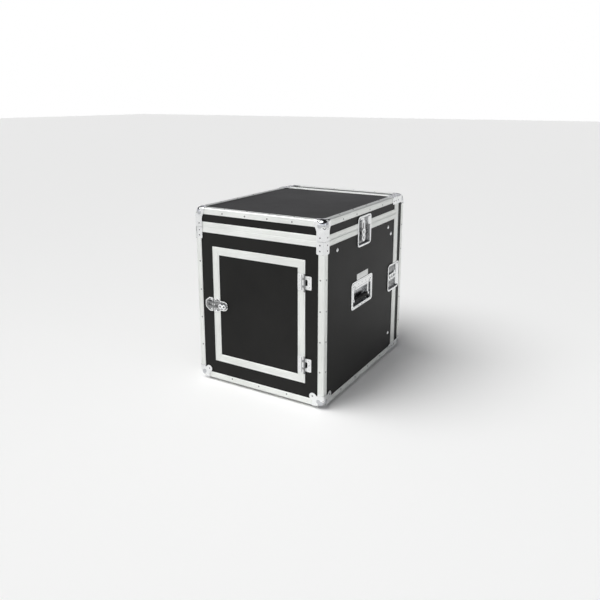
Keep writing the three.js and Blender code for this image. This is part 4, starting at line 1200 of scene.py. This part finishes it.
def make_hinges():
    head = [(3.0, 30.35), (2.8, 31.0), (1.8, 31.4), (0, 31.4)]
    for place in ("upper", "lower"):
        z = sum(corner.z for corner in limits(f"hinge_pin_{place}")) / 2
        front = face_frame((HINGE_X, 0, z), (0, 0, 1), (0, -1, 0))
        upright = Matrix.Translation((HINGE_X, HINGE_Y, z))
        make_door_leaf(place, front, upright)
        make_wall_leaf(place, front, upright)
        pin = bmesh.new()
        profile = [(r, -w) for r, w in reversed(head)] + [(1.7, -30.3), (1.7, 30.3)] + head
        add_lathe(pin, profile, upright, 18)
        piece(f"hinge_pin_round_{place}", pin, "case", RIVET_STEEL, [f"hinge_pin_{place}"])


DOOR_LATCH_HUB = -44.0  # v of the wing's axis; v points from the door to the keeper


def make_door_latch_base(matrix):
    """A rimmed base plate, wide at the door's edge and round at the wing, with a ring under the wing."""
    base = bmesh.new()
    half = [(26, -2, 2), (26, -22, 6), (18, -34, 6), (18, -64, 17.9)]
    wide = rounded([(-u, v, r) for u, v, r in half] + half[::-1], 8)
    half = [(22.5, -5, 2), (22.5, -21, 5), (14.6, -33, 5), (14.6, -60.6, 14.5)]
    inner = rounded([(-u, v, r) for u, v, r in half] + half[::-1], 8)
    add_plate(base, [wide, inner], 0.3, 2.9, matrix)
    plain = len(base.faces)
    # The floor inside the rim takes the darker zinc: painted shade
    add_plate(base, [inner], 0.5, 1.2, matrix)
    darken_from(base, plain)
    ring = [(0, 1.1), (11.8, 1.1), (12.6, 2.4), (13.8, 2.4), (14.4, 1.0), (0, 1.0)]
    add_lathe(base, ring, matrix @ shift(0, DOOR_LATCH_HUB), 28)
    for u in (-20, 20):
        add_lathe(base, SCREW, matrix @ shift(u, -10, 1.8), 16)
    guides = [rounded_rect(u - 0.8, u + 0.8, -34, -5, 0.7, 2) for u in (-13.4, 13.4)]
    add_plates(base, guides, 1.7, 3.4, matrix)
    piece("door_latch_base", base, "service_door", [CHROME, PAINTED_SHADE_ZINC],
          ["door_latch_plate"])


def make_door_latch_keeper(matrix):
    """A rimmed keeper on the wall, with the strike that the hook's tip grips."""
    keeper = bmesh.new()
    half = [(26, 2.2, 2), (26, 18, 8), (12, 36, 9)]
    outline = rounded([(-26, 2.2, 2), *half, (-12, 36, 9), (-26, 18, 8)], 6)
    half = [(22.5, 5.2, 2), (22.5, 17, 7), (10.5, 32.6, 8)]
    inner = rounded([(-22.5, 5.2, 2), *half, (-10.5, 32.6, 8), (-22.5, 17, 7)], 6)
    add_plate(keeper, [outline, inner], -1.7, 2.9, matrix)
    plain = len(keeper.faces)
    # The floor inside the rim takes the darker zinc: painted shade
    add_plate(keeper, [inner], -1.7, 1.2, matrix)
    darken_from(keeper, plain)
    add_plate(keeper, [rounded_rect(-9, 9, 24, 27, 0.8, 2)], 1.1, 3.8, matrix)
    for u in (-18.5, 18.5):
        add_lathe(keeper, SCREW, matrix @ shift(u, 11, 1.8), 16)
    piece("door_latch_keeper_plate", keeper, "case", [CHROME, PAINTED_SHADE_ZINC],
          ["door_latch_keeper"])


def make_door_latch():
    low, high = limits("door_latch_keeper")
    matrix = face_frame((DOOR_LOW.x, 0, (low.z + high.z) / 2), (-1, 0, 0), (0, -1, 0))
    hub = DOOR_LATCH_HUB
    make_door_latch_base(matrix)
    make_door_latch_keeper(matrix)
    hook = bmesh.new()
    add_hook(hook, matrix, half=11, back=hub - 14, tip=31, low=4, high=5.8, tip_low=3.1,
             hub=hub, slot_radius=5.1, travel=LATCH_TRAVEL)
    # The hook under the wing is all darker zinc: painted shade
    piece("door_latch_draw_hook", hook, "door_latch_hook", PAINTED_SHADE_ZINC,
          ["door_latch_hook"])
    wing = bmesh.new()
    add_wing(wing, matrix @ shift(0, hub), radius=17, lobe=9, low=9.4, high=12, hub_radius=4.5,
             base=2.1)
    piece("door_latch_butterfly", wing, "door_latch_wing", CHROME, ["door_latch_wing"])


# ---------------------------------------------------------------- rails, feet and boards

def make_rail_bolts():
    """Pan heads over the rail bolts, where they come through the side boards."""
    front, top = limits("front_rack_rail_right"), limits("top_rack_rail_right")
    bolt, front_inset, top_inset = 15.0, 12.5, 5.0
    places = [(front[1].y - bolt, z) for z in (front[0].z + front_inset, front[1].z - front_inset)]
    places += [(y, top[1].z - bolt) for y in (top[0].y + top_inset, top[1].y - top_inset)]
    head = [(0, 1.1), (1.6, 1.1), (3.6, 0.75), (4.9, -0.2), (5.2, -1.3), (5.2, -2.2), (0, -2.2)]
    washer = [(0, -1.3), (6.6, -1.3), (7.0, -1.7), (7.0, -2.2), (0, -2.2)]
    for side in SIDES:
        mesh = bmesh.new()
        for y, z in places:
            add_lathe(mesh, head, face_place(side, 0, y=y, z=z), 18)
            add_lathe(mesh, washer, face_place(side, 0, y=y, z=z), 18)
        piece(f"rail_bolt_heads_{side}", mesh, "case", CHROME)


def make_feet():
    profile = [(0, -4), (4, -4), (5, -9.2), (6, -10), (14.6, -10), (16, -9.2), (18.6, 0.6),
               (18.8, 1.7), (0, 1.7)]
    for side in SIDES:
        for end in ("door_end", "cover_end"):
            node = f"rubber_foot_{end}_{side}"
            low, high = limits(node)
            middle = (low + high) / 2
            mesh = bmesh.new()
            add_lathe(mesh, profile, Matrix.Translation((middle.x, middle.y, 0)), 32)
            piece(f"moulded_foot_{end}_{side}", mesh, "case", RUBBER, [node])


# How far the edges of each material's CAD nodes are eased
BEVELS = {"laminate": 0.3, "rail_steel": 0.25, "aluminium": 0.3}


def finish_carried_nodes():
    """Gives the CAD nodes that stay in sight their finish and a fine edge."""
    finishes = {"laminate": LAMINATE, "rail_steel": RAIL_STEEL, "aluminium": LABEL}
    slots = {row["node"]: row["material_slot"] for row in frame["record"]["subparts"]}
    for name, node in frame["nodes"].items():
        if node.hide_render:
            continue
        slot = slots[name]
        node.data.materials.clear()
        node.data.materials.append(finishes[slot])
        edge = node.modifiers.new("eased_edges", "BEVEL")
        edge.width = BEVELS[slot] * MM
        edge.segments = 2
        edge.limit_method = "ANGLE"
        edge.angle_limit = math.radians(50)


# ---------------------------------------------------------------- stage

def make_floor():
    mesh = bmesh.new()
    size = 30.0
    corners = [(-size, -size), (size, -size), (size, size), (-size, size)]
    mesh.faces.new([mesh.verts.new((x, y, 0)) for x, y in corners])
    data = bpy.data.meshes.new("studio_floor")
    mesh.to_mesh(data)
    mesh.free()
    paint = bpy.data.materials.new("pale_floor")
    paint.use_nodes = True
    shader = paint.node_tree.nodes["Principled BSDF"]
    shader.inputs["Base Color"].default_value = (0.96, 0.96, 0.95, 1)
    shader.inputs["Roughness"].default_value = 0.9
    shader.inputs["Specular IOR Level"].default_value = 0.0
    data.materials.append(paint)
    floor = bpy.data.objects.new("studio_floor", data)
    bpy.context.scene.collection.objects.link(floor)


def add_light(name, place, target, size, power, colour=(1, 1, 1)):
    data = bpy.data.lights.new(name, "AREA")
    data.shape = "RECTANGLE"
    data.size, data.size_y = size
    data.energy = power
    data.color = colour
    light = bpy.data.objects.new(name, data)
    light.location = place
    light.rotation_mode = "QUATERNION"
    light.rotation_quaternion = (Vector(target) - Vector(place)).to_track_quat("-Z", "Y")
    bpy.context.scene.collection.objects.link(light)


def make_world():
    """White low down, dark overhead and greyer towards the back. The camera sees plain white."""
    world = bpy.data.worlds.new("studio")
    bpy.context.scene.world = world
    world.use_nodes = True
    tree = world.node_tree
    link = tree.links.new
    place = add_node(tree, "ShaderNodeTexCoord")
    split = add_node(tree, "ShaderNodeSeparateXYZ")
    link(place.outputs["Generated"], split.inputs["Vector"])
    ramp = add_node(tree, "ShaderNodeValToRGB")
    link(split.outputs["Z"], ramp.inputs["Fac"])
    stops = ramp.color_ramp.elements
    stops[0].position, stops[0].color = 0.05, (0.9, 0.9, 0.9, 1)
    stops[1].position, stops[1].color = 1.0, (0.02, 0.02, 0.022, 1)
    for position, level in ((0.15, 0.9), (0.34, 0.88), (0.46, 0.04)):
        stops.new(position).color = (level, level, level * 1.05, 1)
    front = add_node(tree, "ShaderNodeMapRange", From_Min=-1.0, From_Max=0.6, To_Min=1.1, To_Max=0.62)
    link(split.outputs["Y"], front.inputs["Value"])
    shaded = add_node(tree, "ShaderNodeVectorMath", operation="SCALE")
    link(ramp.outputs["Color"], shaded.inputs[0])
    link(front.outputs["Result"], shaded.inputs["Scale"])
    lit = tree.nodes["Background"]
    link(shaded.outputs["Vector"], lit.inputs["Color"])
    backdrop = add_node(tree, "ShaderNodeBackground")
    backdrop.inputs["Color"].default_value = (1.0, 1.0, 1.0, 1)
    path = add_node(tree, "ShaderNodeLightPath")
    mix = add_node(tree, "ShaderNodeMixShader")
    link(path.outputs["Is Camera Ray"], mix.inputs["Fac"])
    link(lit.outputs["Background"], mix.inputs[1])
    link(backdrop.outputs["Background"], mix.inputs[2])
    link(mix.outputs["Shader"], tree.nodes["World Output"].inputs["Surface"])


def make_lights():
    data = bpy.data.lights.new("soft_sun", "SUN")
    data.energy = 2.6
    data.angle = math.radians(50)
    sun = bpy.data.objects.new("soft_sun", data)
    sun.rotation_mode = "QUATERNION"
    sun.rotation_quaternion = Vector((0.42, 0.42, -1.0)).to_track_quat("-Z", "Y")
    bpy.context.scene.collection.objects.link(sun)
    add_light("key_softbox", (-1.4, -3.0, 1.6), (0, -0.2, 0.35), (1.6, 1.6), 4)
    add_light("side_softbox", (2.9, -0.6, 1.5), (0.2, 0, 0.35), (0.9, 1.4), 3, (0.9, 0.95, 1.0))
    add_light("top_softbox", (0.2, -0.9, 2.6), (0, 0.1, 0.5), (1.0, 0.7), 5)


def make_camera():
    data = bpy.data.cameras.new("camera")
    data.sensor_width = 36.0
    data.lens = 37.33
    data.shift_y = -0.1
    camera = bpy.data.objects.new("camera", data)
    camera.location = (1.1827, -2.0440, 1.0387)
    azimuth, pitch = math.radians(30.57), math.radians(12.82)
    camera.rotation_euler = (math.pi / 2 - pitch, 0, azimuth)
    bpy.context.scene.collection.objects.link(camera)
    bpy.context.scene.camera = camera
    bpy.context.scene.view_settings.view_transform = "Standard"


make_camera()
make_floor()
make_world()
make_lights()
make_edging()
make_rims()
make_corners()
make_lid_bosses()
make_braces()
make_profile_rivets()
make_plate_rivets()
make_latches()
make_handles()
make_door_frame()
make_hinges()
make_door_latch()
make_rail_bolts()
make_feet()
finish_carried_nodes()
